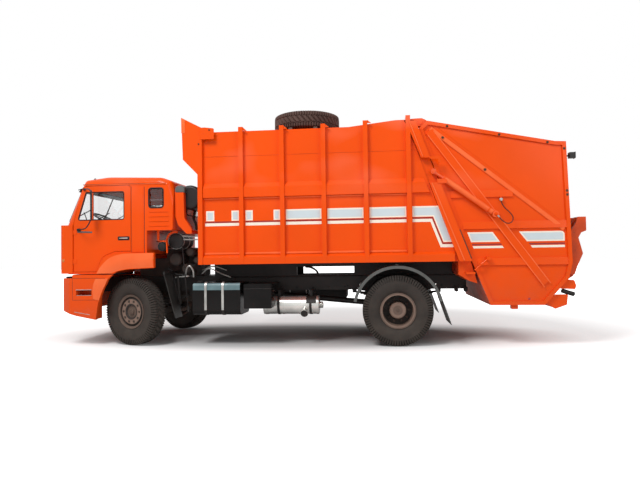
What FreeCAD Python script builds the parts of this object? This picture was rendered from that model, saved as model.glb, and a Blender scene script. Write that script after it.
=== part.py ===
"""Rear-loading garbage truck: cab-over chassis, ribbed waste body, lifting tailgate with a packer.

Frame: +Z up with z = 0 on the ground, the front of the truck towards -X, its left side towards -Y.
Millimetres. The driving dimensions are in the sheet "Dims"; each sub-part is bound to them.
"""
import FreeCAD, Part
import math
import os
import re
import Sketcher

from FreeCAD import Vector, Rotation, Placement

# ---------------------------------------------------------------- driving dimensions
DIMS = {
    # chassis
    "bumper_front_x": -4130,
    "steer_at_rest": -20,     # turn of the front wheels as the truck is parked, in degrees about the kingpins
    "front_axle_x": -2840,
    "rear_axle_x": 1360,
    "rail_half": 432,         # outer face of a frame rail from the centre plane
    "rail_top": 1085,
    "rail_depth": 255,
    "rail_flange": 80,
    "rail_wall": 9,
    "rail_front_x": -3880,
    "rail_rear_x": 2500,
    "beam_top": 1290,         # top of the body's own sub-frame
    # wheels
    "tyre_radius": 543,
    "tyre_half": 146,         # half of a tyre's width
    "rim_radius": 254,        # bead seat
    "front_track_half": 1013,
    "kingpin_half": 865,
    "twin_outer": 1050,       # centre of the outer rear tyre from the centre plane
    "twin_inner": 722,
    # cab
    "cab_half": 1170,         # cab side skin from the centre plane
    "cab_wall": 40,
    "cab_front_x": -4010,
    "cab_rear_x": -2192,
    "cab_floor": 1160,
    "cab_roof": 2745,
    "door_front_x": -3862,
    "door_rear_x": -2896,
    "door_top": 2590,
    "window_low": 2040,
    "window_high": 2490,
    # waste body
    "body_half": 1185,        # side skin from the centre plane
    "rib_half": 1250,         # outer face of the ribs
    "body_front_x": -1750,
    "body_floor": 1290,
    "rib_pitch": 652,
    "first_rib_x": -1085,
    "rib_width": 70,
    "sheet": 6,
    # tailgate
    "gate_hinge_x": 1760,
    "gate_hinge_z": 3440,
    "pin_radius": 30,
    "lift_tail_x": 2833,      # lift cylinder's pin on the tailgate
    "lift_tail_z": 1990,
    "lift_body_x": 1930,      # lift cylinder's pin on the body
    "lift_body_z": 2660,
    "lift_y": 1205,           # lift cylinder's middle plane
}

doc = FreeCAD.newDocument("GarbageTruck")
sheet = doc.addObject("Spreadsheet::Sheet", "Dims")
for row, (alias, value) in enumerate(DIMS.items(), start=1):
    sheet.set("A%d" % row, alias)
    sheet.set("B%d" % row, str(value))
    sheet.setAlias("B%d" % row, alias)
doc.recompute()


class Sizes:
    """The sheet's values by alias, for the shapes that are set by Part's own functions."""

    def __getattr__(self, alias):
        return float(sheet.get(alias))


S = Sizes()
SIDES = (("left", -1), ("right", 1))
NODES = []
BRACKETS = []              # black steel brackets of the frame, gathered into one node


# ---------------------------------------------------------------- helpers
def link(text):
    """An expression in which each alias is written as a cell of the sheet."""
    return re.sub(r"[a-z_][a-z_0-9]*",
                  lambda word: "Dims." + word.group(0) if word.group(0) in DIMS else word.group(0),
                  str(text))


def bind(obj, **sizes):
    for name, text in sizes.items():
        obj.setExpression(name, link(text))
    return obj


def move(obj, x=0, y=0, z=0):
    for axis, text in (("x", x), ("y", y), ("z", z)):
        obj.setExpression("Placement.Base." + axis, link(text))
    return obj


def block(x, y, z):
    """A box between two expressions along each axis."""
    box = doc.addObject("Part::Box", "Block")
    bind(box, Length=f"({x[1]}) - ({x[0]})", Width=f"({y[1]}) - ({y[0]})", Height=f"({z[1]}) - ({z[0]})")
    return move(box, x[0], y[0], z[0])


def side_span(side, inner, outer):
    """Low and high Y of something between two distances from the centre plane."""
    return (inner, outer) if side > 0 else (f"-({outer})", f"-({inner})")


TURN = {"x": Rotation(Vector(0, 1, 0), 90), "y": Rotation(Vector(1, 0, 0), -90), "z": Rotation()}


def rod(axis, start, radius, length):
    """A cylinder from a start point along one axis."""
    bar = doc.addObject("Part::Cylinder", "Rod")
    bar.Placement = Placement(Vector(), TURN[axis])
    bind(bar, Radius=radius, Height=length)
    return move(bar, *start)


def origin_plane(body, role):
    return next(f for f in body.Origin.OriginFeatures if f.Role == role)


def profile(body, plane, outline):
    """A closed sketch of straight lines, each corner bound to two expressions."""
    sketch = body.newObject("Sketcher::SketchObject", "Profile")
    sketch.AttachmentSupport = [(origin_plane(body, plane), "")]
    sketch.MapMode = "FlatFace"
    points = [Vector(10 * math.cos(i), 10 * math.sin(i), 0) for i in range(len(outline))]
    for i, point in enumerate(points):
        sketch.addGeometry(Part.LineSegment(point, points[(i + 1) % len(points)]), False)
    count = len(points)
    for i in range(count):
        sketch.addConstraint(Sketcher.Constraint("Coincident", i, 2, (i + 1) % count, 1))
    for i, (across, up) in enumerate(outline):
        for kind, text in (("DistanceX", across), ("DistanceY", up)):
            number = sketch.addConstraint(Sketcher.Constraint(kind, -1, 1, i, 1, 1.0))
            sketch.setExpression("Constraints[%d]" % number, link(text))
    return sketch


def prism(plane, outline, start, length):
    """An outline padded along its plane's normal, from a start to start + length."""
    body = doc.addObject("PartDesign::Body", "Prism")
    pad = body.newObject("PartDesign::Pad", "Pad")
    pad.Profile = profile(body, plane, outline)
    bind(pad, Length=length)
    if plane == "XZ_Plane":
        pad.Reversed = True
        return move(body, y=start)
    if plane == "YZ_Plane":
        return move(body, x=start)
    return move(body, z=start)


def turned(outline, x, y, z):
    """A profile (distance along Y, radius) turned about the Y direction through a point."""
    body = doc.addObject("PartDesign::Body", "Turned")
    revolution = body.newObject("PartDesign::Revolution", "Revolution")
    sketch = profile(body, "YZ_Plane", outline)
    revolution.Profile = sketch
    revolution.ReferenceAxis = (sketch, ["H_Axis"])
    revolution.Angle = 360
    return move(body, x, y, z)


def fuse(*objects):
    joined = doc.addObject("Part::MultiFuse", "Fused")
    joined.Shapes = list(objects)
    return joined


def cut(base, *tools):
    result = doc.addObject("Part::Cut", "Cut")
    result.Base = base
    result.Tool = tools[0] if len(tools) == 1 else fuse(*tools)
    return result


def group(*objects):
    """Pieces of one node that don't touch."""
    compound = doc.addObject("Part::Compound", "Group")
    compound.Links = list(objects)
    return compound


def feature(shape):
    obj = doc.addObject("Part::Feature", "Shaped")
    obj.Shape = shape
    return obj


def node(name, obj):
    obj.Label = name
    NODES.append(obj)
    return obj


def rounded_wire(points, normal="y"):
    """Closed wire through (across, up, corner radius) points, with tangent arcs at the corners."""
    lift = {"y": lambda a, b: Vector(a, 0, b), "z": lambda a, b: Vector(a, b, 0),
            "x": lambda a, b: Vector(0, a, b)}[normal]
    corners = [(lift(p[0], p[1]), p[2] if len(p) > 2 else 0) for p in points]
    count = len(corners)
    stops = []
    for i, (here, radius) in enumerate(corners):
        if radius == 0:
            stops.append((here, None, here))
            continue
        back = (corners[i - 1][0] - here).normalize()
        ahead = (corners[(i + 1) % count][0] - here).normalize()
        half = back.getAngle(ahead) / 2
        reach = radius / math.tan(half)
        middle = here + (back + ahead).normalize() * (radius / math.sin(half) - radius)
        stops.append((here + back * reach, middle, here + ahead * reach))
    edges = []
    for i, (start, middle, end) in enumerate(stops):
        if middle is not None:
            edges.append(Part.Arc(start, middle, end).toShape())
        following = stops[(i + 1) % count][0]
        if end.distanceToPoint(following) > 0.01:
            edges.append(Part.LineSegment(end, following).toShape())
    return Part.Wire(edges)


def slab(points, low, high, normal="y"):
    """A rounded outline given a thickness from low to high along its normal."""
    direction = {"y": Vector(0, 1, 0), "z": Vector(0, 0, 1), "x": Vector(1, 0, 0)}[normal]
    face = Part.Face(rounded_wire(points, normal))
    face.translate(direction * low)
    return face.extrude(direction * (high - low))


def solid_box(x0, x1, y0, y1, z0, z1):
    return Part.makeBox(x1 - x0, y1 - y0, z1 - z0, Vector(x0, y0, z0))


def bar_between(a, b, radius):
    a, b = Vector(*a), Vector(*b)
    return Part.makeCylinder(radius, (b - a).Length, a, b - a)


def beam_between(a, b, y0, y1, depth):
    """A flat-sided beam in the XZ plane from a to b, depth wide, between two Y values."""
    ax, az = a
    bx, bz = b
    run = math.hypot(bx - ax, bz - az)
    nx, nz = -(bz - az) / run * depth / 2, (bx - ax) / run * depth / 2
    return slab([(ax + nx, az + nz), (bx + nx, bz + nz), (bx - nx, bz - nz), (ax - nx, az - nz)], y0, y1)


def both_sides(shape):
    """A shape and its mirror image across the centre plane."""
    return [shape, shape.mirror(Vector(), Vector(0, 1, 0))]


def on_side(shape, side):
    """A shape drawn on the left side, or its mirror image for the right."""
    return shape if side < 0 else shape.mirror(Vector(), Vector(0, 1, 0))


# ---------------------------------------------------------------- chassis frame
def chassis_frame():
    pieces = []
    for _, side in SIDES:
        outer, lip = f"{side} * rail_half", f"{side} * (rail_half - rail_flange)"
        web = f"{side} * (rail_half - rail_wall)"
        low, high = "rail_top - rail_depth", "rail_top"
        pieces.append(prism("YZ_Plane", [
            (outer, low), (outer, high), (lip, high), (lip, f"{high} - rail_wall"),
            (web, f"{high} - rail_wall"), (web, f"{low} + rail_wall"), (lip, f"{low} + rail_wall"), (lip,
                                                                                                     low)],
            "rail_front_x", "rail_rear_x - rail_front_x"))
    for x, z0, z1 in (("rail_front_x", 880, 1000), (-1950, 1032, 1080), (-560, 900, 1040), (700, 900, 1040),
                      (2050, 900, 1040), ("rail_rear_x - 90", 850, 1070)):
        pieces.append(block((x, f"{x} + 90"), ("-(rail_half - rail_wall)", "rail_half - rail_wall"),
                            (z0, z1)))
    holes = [rod("y", (f"{x} + {dx}", start, f"rail_top - rail_depth / 2 + {dz}"), 8.5, 40)
             for start, x in ((-450, 450), (410, 750)) for dx in (-100, 100) for dz in (-60, 60)]
    node("chassis_frame", cut(fuse(*pieces), *holes))


def sub_frame():
    """Longitudinal beams on the rails, with packing blocks below them, and cross bearers."""
    pieces = []
    for _, side in SIDES:
        y = side_span(side, "rail_half - 70", "rail_half")
        for start, end, low, high in (("body_front_x + 20", 2275, 1222, "beam_top"),
                                      ("body_front_x + 20", -303, "rail_top", 1222),
                                      (669, 2275, "rail_top", 1222)):
            pieces.append(block((start, end), y, (low, high)))
    for x in (-1700, -900, -100, 700, 1500, 2190):
        pieces.append(block((x, x + 80), ("-(rail_half - 70)", "rail_half - 70"), (1222, "beam_top")))
    node("sub_frame", fuse(*pieces))


# ---------------------------------------------------------------- axles, springs, drive
LEAF = 14  # thickness of one spring leaf


def leaf_spring(x, half_span, z_mid, rise, leaves, thickness, y):
    """Stacked leaves bent as arcs, shorter towards the bottom, with an eye at both ends."""
    shapes = []
    for index in range(leaves):
        reach = half_span * (1 - 0.75 * index / leaves)
        drop = rise * (reach / half_span) ** 2
        top = z_mid - index * thickness
        wire_top = Part.Arc(Vector(x - reach, 0, top + drop), Vector(x, 0, top),
                            Vector(x + reach, 0, top + drop))
        low = top - thickness
        wire_low = Part.Arc(Vector(x + reach, 0, low + drop), Vector(x, 0, low),
                            Vector(x - reach, 0, low + drop))
        wire = Part.Wire([wire_top.toShape(), Part.makeLine(wire_top.EndPoint, wire_low.StartPoint),
                          wire_low.toShape(), Part.makeLine(wire_low.EndPoint, wire_top.StartPoint)])
        face = Part.Face(wire)
        face.translate(Vector(0, y - 38, 0))
        shapes.append(face.extrude(Vector(0, 76, 0)))
    return shapes[0].multiFuse(shapes[1:]).removeSplitter()


def leaf_springs():
    """Two springs on each axle, hung from the rails by a block at both ends."""
    shapes = []
    for x, half_span, pad_top, rise, leaves in ((S.front_axle_x, 720, 58, 60, 8),
                                                (S.rear_axle_x, 700, 98, 25, 10)):
        z_mid = S.tyre_radius + pad_top + leaves * LEAF
        for sign in (-1, 1):
            y = sign * (S.rail_half - 2)
            spring = leaf_spring(x, half_span, z_mid, rise, leaves, LEAF, y)
            low, high = z_mid + rise - 25, S.rail_top - S.rail_depth
            for end in (-1, 1):
                eye_x = x + end * (half_span - 10)
                spring = spring.fuse(solid_box(eye_x - 35, eye_x + 35, y - 38, y + 38, low, high))
            shapes.append(spring.removeSplitter())
    node("leaf_springs", feature(Part.makeCompound(shapes)))


def front_axle():
    """Dropped beam with a spring pad on each arm and a boss at each end for the kingpin."""
    wheel_z = S.tyre_radius
    half = S.kingpin_half
    outline = [(-half + 60, wheel_z - 60), (-half + 60, wheel_z + 50), (-620, wheel_z + 50, 80),
               (-480, wheel_z - 40, 80), (480, wheel_z - 40, 80), (620, wheel_z + 50, 80),
               (half - 60, wheel_z + 50), (half - 60, wheel_z - 60), (600, wheel_z - 60, 80),
               (460, wheel_z - 150, 80), (-460, wheel_z - 150, 80), (-600, wheel_z - 60, 80)]
    beam = slab(outline, -50, 50, "x")
    beam.translate(Vector(S.front_axle_x, 0, 0))
    for sign in (-1, 1):
        pad = solid_box(S.front_axle_x - 60, S.front_axle_x + 60, sign * 430 - 50, sign * 430 + 50,
                        wheel_z - 60, wheel_z + 58)
        beam = beam.fuse(pad)
        boss = Part.makeCylinder(46, 110, Vector(S.front_axle_x, sign * half, wheel_z - 60))
        beam = beam.fuse(boss)
    node("front_axle", feature(beam.removeSplitter()))


def knuckle(name, side):
    """Yoke above and below the axle's boss, steering arm, back plate and stub for one front wheel."""
    x, z, pin = S.front_axle_x, S.tyre_radius, -S.kingpin_half
    plate = pin - 57
    upper = Part.makeCylinder(45, 40, Vector(x, pin, z + 52))
    lower = Part.makeCylinder(45, 40, Vector(x, pin, z - 102))
    cheeks = [solid_box(x - 50, x + 50, plate, pin, z + low, z + low + 40) for low in (52, -102)]
    web = Part.makeCylinder(150, 14, Vector(x, plate, z), Vector(0, -1, 0))
    stub = Part.makeCylinder(36, 136, Vector(x, plate - 14, z), Vector(0, -1, 0))
    arm = solid_box(x - 230, x - 20, pin + 30, pin + 75, z - 102, z - 72)
    shape = upper.fuse([lower, web, stub, arm] + cheeks)
    shape = on_side(shape.removeSplitter(), side)
    shape.rotate(Vector(x, -side * pin, 0), Vector(0, 0, 1), S.steer_at_rest)
    node(name, feature(shape))


def rear_axle():
    """Banjo housing with its tubes, pads for the springs and a nose for the driveshaft."""
    x, z = S.rear_axle_x, S.tyre_radius
    half = 640
    housing = Part.makeCylinder(75, 2 * half, Vector(x, -half, z), Vector(0, 1, 0))
    ball = Part.makeSphere(215, Vector(x, 0, z))
    nose = Part.makeCone(120, 70, 330, Vector(x - 120, 0, z + 15), Vector(-1, 0, 0.06))
    shape = housing.fuse([ball, nose])
    for sign in (-1, 1):
        shape = shape.fuse(solid_box(x - 75, x + 75, sign * 430 - 50, sign * 430 + 50, z - 40, z + 98))
    node("rear_axle", feature(shape.removeSplitter()))


def drive_train():
    """Engine with gearbox as plain heavy blocks, and the shaft to the rear axle."""
    engine = solid_box(-3230, -2080, -345, 345, 640, 1090)
    engine = engine.fuse(solid_box(-3080, -2060, -400, 400, 1090, 1400))
    engine = engine.fuse(solid_box(-2590, -2060, -400, 400, 1400, 1560))
    gearbox = slab([(-2080, 620, 0), (-2080, 1040, 0), (-1750, 1000, 60), (-1330, 860, 40), (-1330, 720, 40),
                    (-1750, 640, 60)], -210, 210)
    node("engine", feature(engine.fuse(gearbox).removeSplitter()))
    shaft = bar_between((-1324, 0, 790), (S.rear_axle_x - 452, 0, S.tyre_radius + 36), 48)
    node("driveshaft", feature(shaft))


# ---------------------------------------------------------------- wheels
def tyre_outline(centre):
    """A tyre's section as (distance along Y, radius) corners round its middle plane."""
    half = [(96, "rim_radius"), (96, "rim_radius + 27"), (128, "rim_radius + 56"),
            ("tyre_half", "tyre_radius - 150"),
            ("tyre_half - 4", "tyre_radius - 70"), (118, "tyre_radius - 12"), (60, "tyre_radius")]
    return ([(f"{centre} - ({out})", radius) for out, radius in half]
            + [(f"{centre} + ({out})", radius) for out, radius in reversed(half)])


def rim_edge(centre, side):
    """Outer surface of a rim's barrel with its two flanges, from the outer flange to the inner one."""
    steps = [(112, 22), (102, 22), (98, -0.3), (-98, -0.3), (-102, 22), (-112, 22)]
    return [(f"{side} * ({centre} + {out})", f"rim_radius + {rise}") for out, rise in steps]


def front_rim(side):
    """Wheel with a flat bolting ring, its brake drum, and a hub cap in a recess."""
    inside = [(-112, "rim_radius - 16"), (46, "rim_radius - 16"), (46, 205), (-60, 205), (-60, 40), (66, 40),
              (66, 0), (104, 0), (104, 36), (96, 46), (74, 52), (74, 94), (97, 104), (97, 196), (80, 216),
              (68, 226), (68, "rim_radius - 20"), (112, "rim_radius - 16")]
    return rim_edge("front_track_half", side) + [(f"{side} * (front_track_half + {out})", radius)
                                                 for out, radius in inside]


def twin_rim(side):
    """Two rims bolted disc to disc, with the brake drum inside and the hub outside."""
    between = [("twin_outer - 112", 150), ("twin_inner + 112", 150)]
    inside = [("twin_inner - 112", "rim_radius - 16"), ("twin_inner + 92", "rim_radius - 16"),
              ("twin_inner + 92", 205),
              ("twin_inner - 66", 205), ("twin_inner - 66", 0), ("twin_outer + 36", 0),
              ("twin_outer + 36", 112),
              ("twin_outer + 26", 126), ("twin_outer - 60", 136), ("twin_outer - 92", 136),
              ("twin_outer - 92", "rim_radius - 20"), ("twin_outer + 112", "rim_radius - 16")]
    return (rim_edge("twin_outer", side)
            + [(f"{side} * ({out})", radius) for out, radius in between]
            + rim_edge("twin_inner", side)
            + [(f"{side} * ({out})", radius) for out, radius in inside])


def steered(body, side):
    """A front wheel's body turned about its kingpin to the way it is parked."""
    body.setExpression("Placement.Rotation.Angle", link("steer_at_rest"))
    return move(body, f"front_axle_x + {side} * kingpin_half * sin(steer_at_rest)",
                f"{side} * kingpin_half * (1 - cos(steer_at_rest))", "tyre_radius")


def wheels():
    for side_name, side in SIDES:
        front, rear = ("front_axle_x", 0, "tyre_radius"), ("rear_axle_x", 0, "tyre_radius")
        node(f"tyre_front_{side_name}", steered(turned(tyre_outline(f"{side} * front_track_half"), *front),
                                                side))
        node(f"rim_front_{side_name}", steered(turned(front_rim(side), *front), side))
        node(f"tyres_rear_{side_name}", group(turned(tyre_outline(f"{side} * twin_outer"), *rear),
                                              turned(tyre_outline(f"{side} * twin_inner"), *rear)))
        node(f"rims_rear_{side_name}", turned(twin_rim(side), *rear))


# ---------------------------------------------------------------- cab
def cab_outline(inset):
    """Side outline of the cab, moved inwards by a wall's thickness; its arch stays open below."""
    front, rear, roof = S.cab_front_x + inset, S.cab_rear_x - inset, S.cab_roof - inset
    floor = S.cab_floor + inset
    return [(front, floor), (front, 1965), (front + 262, 2575, 60), (front + 320, roof - 45, 60),
            (-3300, roof, 600),
            (-2400, roof - 30, 300), (rear - 30, roof - 95, 60), (rear, 2500), (rear, 1850 + inset, 30),
            (-2623 - inset, 1850 + inset), (-2623 - inset, 1475 + inset), (-3130, 1475 + inset, 150),
            (-3330 - inset / 2, 1400 + inset / 2, 150), (-3436 - inset, floor)]


def rounded_cab(inset, radius):
    """The cab's form with its front corners and roof edges rounded."""
    half = S.cab_half - inset
    form = slab(cab_outline(inset), -half, half)
    edges = [e for e in form.Edges
             if abs(abs(e.CenterOfMass.y) - half) < 1 and e.CenterOfMass.x < -2210 - inset
             and (e.CenterOfMass.z > 2300 or (e.CenterOfMass.x < -3800 and e.CenterOfMass.z > 1250))]
    return form.makeFillet(radius, edges)


def cab_shell():
    """Hollow cab: outer form with rounded long edges, less the room inside and its openings."""
    half, wall = S.cab_half, S.cab_wall
    outer = rounded_cab(0, 120)
    room = rounded_cab(wall, 80)
    shell = outer.cut(room)
    openings = []
    for sign in (-1, 1):
        near, far = sorted((sign * (half - wall - 20), sign * (half + 20)))
        openings.append(slab(door_outline(6), near, far))
        openings.append(slab([(-2584, 2220, 40), (-2584, 2530, 40), (-2347, 2530, 40), (-2347, 2220, 40)],
                             near, far))
    openings.append(slab([(-4100, 2010), (-4100, 2060), (-3800, 2560), (-3600, 2560), (-3720, 2300),
                          (-3880, 2010)], 95 - half, half - 95))
    openings.append(solid_box(S.cab_rear_x - wall - 20, S.cab_rear_x + 20, -520, 520, 2140, 2500))
    for barrel in door_barrels(14, 8):
        openings.extend(both_sides(barrel))
    node("cab_shell", feature(shell.cut(openings).fuse(both_sides(tilt_boss())).removeSplitter()))


HINGE_X, HINGE_OUT = -3869, 3        # a door's hinge axis: its X, and how far it stands out of the cab's skin
HINGE_HEIGHTS = (1330, 1800)


def door_barrels(radius, spare):
    """Upright barrels on the left door's hinge axis; spare lengthens them at both ends."""
    return [Part.makeCylinder(radius, 80 + 2 * spare, Vector(HINGE_X, -S.cab_half - HINGE_OUT, z - spare))
            for z in HINGE_HEIGHTS]


TILT_X, TILT_Z = -4040, 1140         # the cab's tilting axis, between the bumper's top and the cab


def tilt_boss():
    """One bush under the cab's front edge, on the tilting axis."""
    arm = solid_box(TILT_X, -3985, -444, -396, 1134, 1170)
    bush = Part.makeCylinder(20, 48, Vector(TILT_X, -444, TILT_Z), Vector(0, 1, 0)).fuse(arm)
    bush = bush.cut(solid_box(TILT_X - 60, S.cab_front_x - 0.1, -450, -390, 1166, 1200))
    return bush.cut(Part.makeCylinder(12.1, 80, Vector(TILT_X, -460, TILT_Z), Vector(0, 1, 0)))


def tilt_lugs():
    """Two lugs on the bumper's top with the pin of the cab's tilting axis, on one side."""
    lugs = [slab([(-4075, 1090), (-4063, 1163, 22), (-4017, 1163, 22), (-4005, 1090)], y,
                 y + 10) for y in (-460, -390)]
    return lugs + [Part.makeCylinder(12, 84, Vector(TILT_X, -462, TILT_Z), Vector(0, 1, 0))]


def door_outline(gap):
    """Outline of a door, grown by a gap for its opening."""
    front, rear, low = S.door_front_x - gap, S.door_rear_x + gap, S.cab_floor + 40 - gap
    return [(front, low, 20), (front, 1990, 60), (-3700 - gap, S.door_top + gap, 40),
            (rear, S.door_top + gap, 50),
            (rear, 1526 - gap, 15), (-3155, 1526 - gap, 190), (-3381, 1445 - gap, 190), (-3475, low, 20)]


def window_outline(gap):
    return [(-3790 - gap, S.window_low - gap, 25), (-3650 - gap, S.window_high + gap, 25),
            (-3005 + gap, S.window_high + gap, 30), (-3005 + gap, S.window_low - gap, 30)]


def door(side_name, side):
    half = S.cab_half
    panel = slab(door_outline(0), -half, 38 - half)
    panel = panel.cut(slab(window_outline(0), -half - 5, 50 - half))
    bar = solid_box(-3560, -3536, -half + 4, -half + 30, S.window_low - 5, S.window_high + 5)
    leaves = [solid_box(HINGE_X, HINGE_X + 60, -half - 6, -half + 1, z + 5, z + 75) for z in HINGE_HEIGHTS]
    panel = panel.fuse([bar] + leaves + door_barrels(9, 0))
    node(f"door_{side_name}", feature(on_side(panel.removeSplitter(), side)))
    handle = slab([(-3095, 1722, 8), (-3095, 1746, 8), (-2925, 1750, 8), (-2925, 1712, 8)], -half - 26,
                  -half - 0.3)
    panes = slab(window_outline(-1), 14 - half, 19 - half)
    panes = panes.cut(solid_box(-3561, -3535, -half, 40 - half, S.window_low - 5, S.window_high + 5))
    node(f"door_glass_{side_name}", feature(on_side(panes, side)))
    back = slab([(-3483, 2030, 14), (-3483, 2500, 14), (-3453, 2500, 14), (-3453, 2030, 14)], -half - 250,
                -half - 90)
    back.rotate(Vector(-3468, -half - 170, 0), Vector(0, 0, 1), 27)
    arms = [bar_between((-3770, -half - 12, 1880), (-3560, -half - 165, 1905), 11),
            bar_between((-3560, -half - 165, 1905), (-3470, -half - 165, 2060), 11),
            bar_between((-3670, -half - 12, 2540), (-3470, -half - 165, 2470), 11),
            Part.makeSphere(12, Vector(-3560, -half - 165, 1905))]
    feet = [solid_box(-3800, -3740, -half - 22, -half - 0.3, 1855, 1905),
            solid_box(-3690, -3650, -half - 22, -half - 0.3, 2520, 2560)]
    mirror = back.fuse(arms + feet).removeSplitter()
    node(f"mirror_{side_name}", feature(on_side(Part.makeCompound([mirror, handle]), side)))


def cab_glass():
    """Two windscreen panes, the rear pane and the two small quarter panes."""
    panes = []
    for sign in (-1, 1):
        low, high = sorted((sign * 1, sign * (S.cab_half - 97)))
        panes.append(slab([(-3990, 2014), (-3750, 2558), (-3742, 2558), (-3982, 2014)], low, high))
        near, far = sorted((sign * (S.cab_half - 26), sign * (S.cab_half - 20)))
        panes.append(slab([(-2582, 2222, 38), (-2582, 2528, 38), (-2349, 2528, 38), (-2349, 2222, 38)],
                          near, far))
    panes.append(solid_box(S.cab_rear_x - 26, S.cab_rear_x - 20, -518, 518, 2142, 2498))
    node("cab_glass", feature(Part.makeCompound(panes)))


def cab_panels():
    """Raised panel over the cab's nose, wrapped round both corners, and the lip over each front wheel."""
    half, inner = S.cab_half + 20, S.cab_half + 0.4
    front, nose = S.bumper_front_x + 20, S.cab_front_x - 0.4
    plan = [(-3872, -half), (front + 18, -half, 60), (front + 5, -half + 260, 200), (front, 0, 3000),
            (front + 5, half - 260, 200), (front + 18, half, 60), (-3872, half),
            (-3872, inner), (nose, inner, 120.4), (nose, -inner, 120.4), (-3872, -inner)]
    body = slab(plan, S.cab_floor + 10, 1960, "z")
    body = body.cut([room for barrel in door_barrels(14, 8) for room in both_sides(barrel)])
    half = S.cab_half
    lip = slab([(-3450, 1166), (-3395, 1300, 100), (-3300, 1435, 120), (-3120, 1492, 150), (-2480, 1492, 10),
                (-2480, 1250, 10), (-2930, 1231, 200), (-3100, 1202, 60), (-3160, 1166)],
               -half - 62, -half - 0.3)
    node("cab_panels", feature(Part.makeCompound([body.removeSplitter()] + both_sides(lip))))


def cab_inside():
    """Dashboard, steering column and wheel, three seats and the bunk behind them."""
    half = S.cab_half - S.cab_wall - 4
    dash = slab([(-3965, 1600), (-3965, 1950, 20), (-3830, 1965, 40), (-3740, 1890, 40), (-3780, 1650, 40)],
                -half + 20, half - 20).common(rounded_cab(S.cab_wall + 4, 76))
    ring = Part.makeTorus(230, 14, Vector(0, 0, 0), Vector(0, 0, 1))
    wheel = ring.fuse([Part.makeBox(232, 30, 10, Vector(0, -15, -5)).rotated(Vector(), Vector(0, 0, 1), a)
                       for a in (90, 210, 330)] + [Part.makeCylinder(60, 30, Vector(0, 0, -20)),
                                                  Part.makeCylinder(26, 265, Vector(0, 0, -285))])
    wheel.Placement = Placement(Vector(-3590, -590, 2080), Rotation(Vector(0, 1, 0), 28))
    node("dashboard", feature(Part.makeCompound([dash, wheel])))
    seats = []
    for y in (-590, 100, 690):
        base = solid_box(-3240, -2760, y - 230, y + 230, 1520, 1740)
        back = slab([(-2800, 1745), (-2690, 1745), (-2640, 2330, 40), (-2740, 2330, 40)], y - 225, y + 225)
        seats.append(base.fuse(back))
    seats.append(solid_box(-2580, -2265, 10 - half, half - 10, 1895, 2010))
    node("seats", feature(Part.makeCompound(seats)))


# ---------------------------------------------------------------- bumper, steps, things on the frame
def front_bumper():
    """Deep bumper with its ends carried back to the wheel arches; a step is let into both ends."""
    nose, half = S.bumper_front_x, S.rib_half - 20
    plan = [(-3484, -half), (-3900, -half, 80), (nose + 40, -half + 110, 120), (nose, 0, 5000),
            (nose + 40, half - 110, 120), (-3900, half, 80), (-3484, half), (-3484, half - 260),
            (-3860, half - 260), (-3960, half - 330), (-3960, 330 - half), (-3860, 260 - half),
            (-3484, 260 - half)]
    body = slab(plan, 400, 1096, "z")
    top = solid_box(-3855, -3480, -half, -1030, 1090, 1150)
    wing = slab([(-3490, 1150), (-3175, 1150), (-3250, 1082, 100), (-3335, 919, 300), (-3420, 692, 300),
                 (-3465, 405), (-3490, 405)], -half, 60 - half)
    body = body.fuse(both_sides(top) + both_sides(wing))
    body = body.cut(slab([(-4200, 380), (-4200, 600), (-4040, 560), (-3790, 490), (-3400, 415), (-3400, 380)],
                         -1400, 1400))
    for sign in (-1, 1):
        near, far = sorted((sign * (half - 200), sign * (half + 20)))
        body = body.cut(solid_box(-3790, -3530, near, far, 815, 905))
        lamp = solid_box(nose - 20, nose + 70, *sorted((sign * 720, sign * 1030)), 815, 985)
        body = body.cut(lamp)
    lugs = [lug for one in tilt_lugs() for lug in both_sides(one)]
    node("front_bumper", feature(body.fuse(lugs).removeSplitter()))
    lamps = [solid_box(nose + 45, nose + 69, *sorted((sign * 722, sign * 1028)), 817, 983)
             for sign in (-1, 1)]
    node("head_lamps", feature(Part.makeCompound(lamps)))
    BRACKETS.extend(both_sides(solid_box(-3959, S.rail_front_x - 0.5, -425, -345, 850, 1060)))


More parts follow.
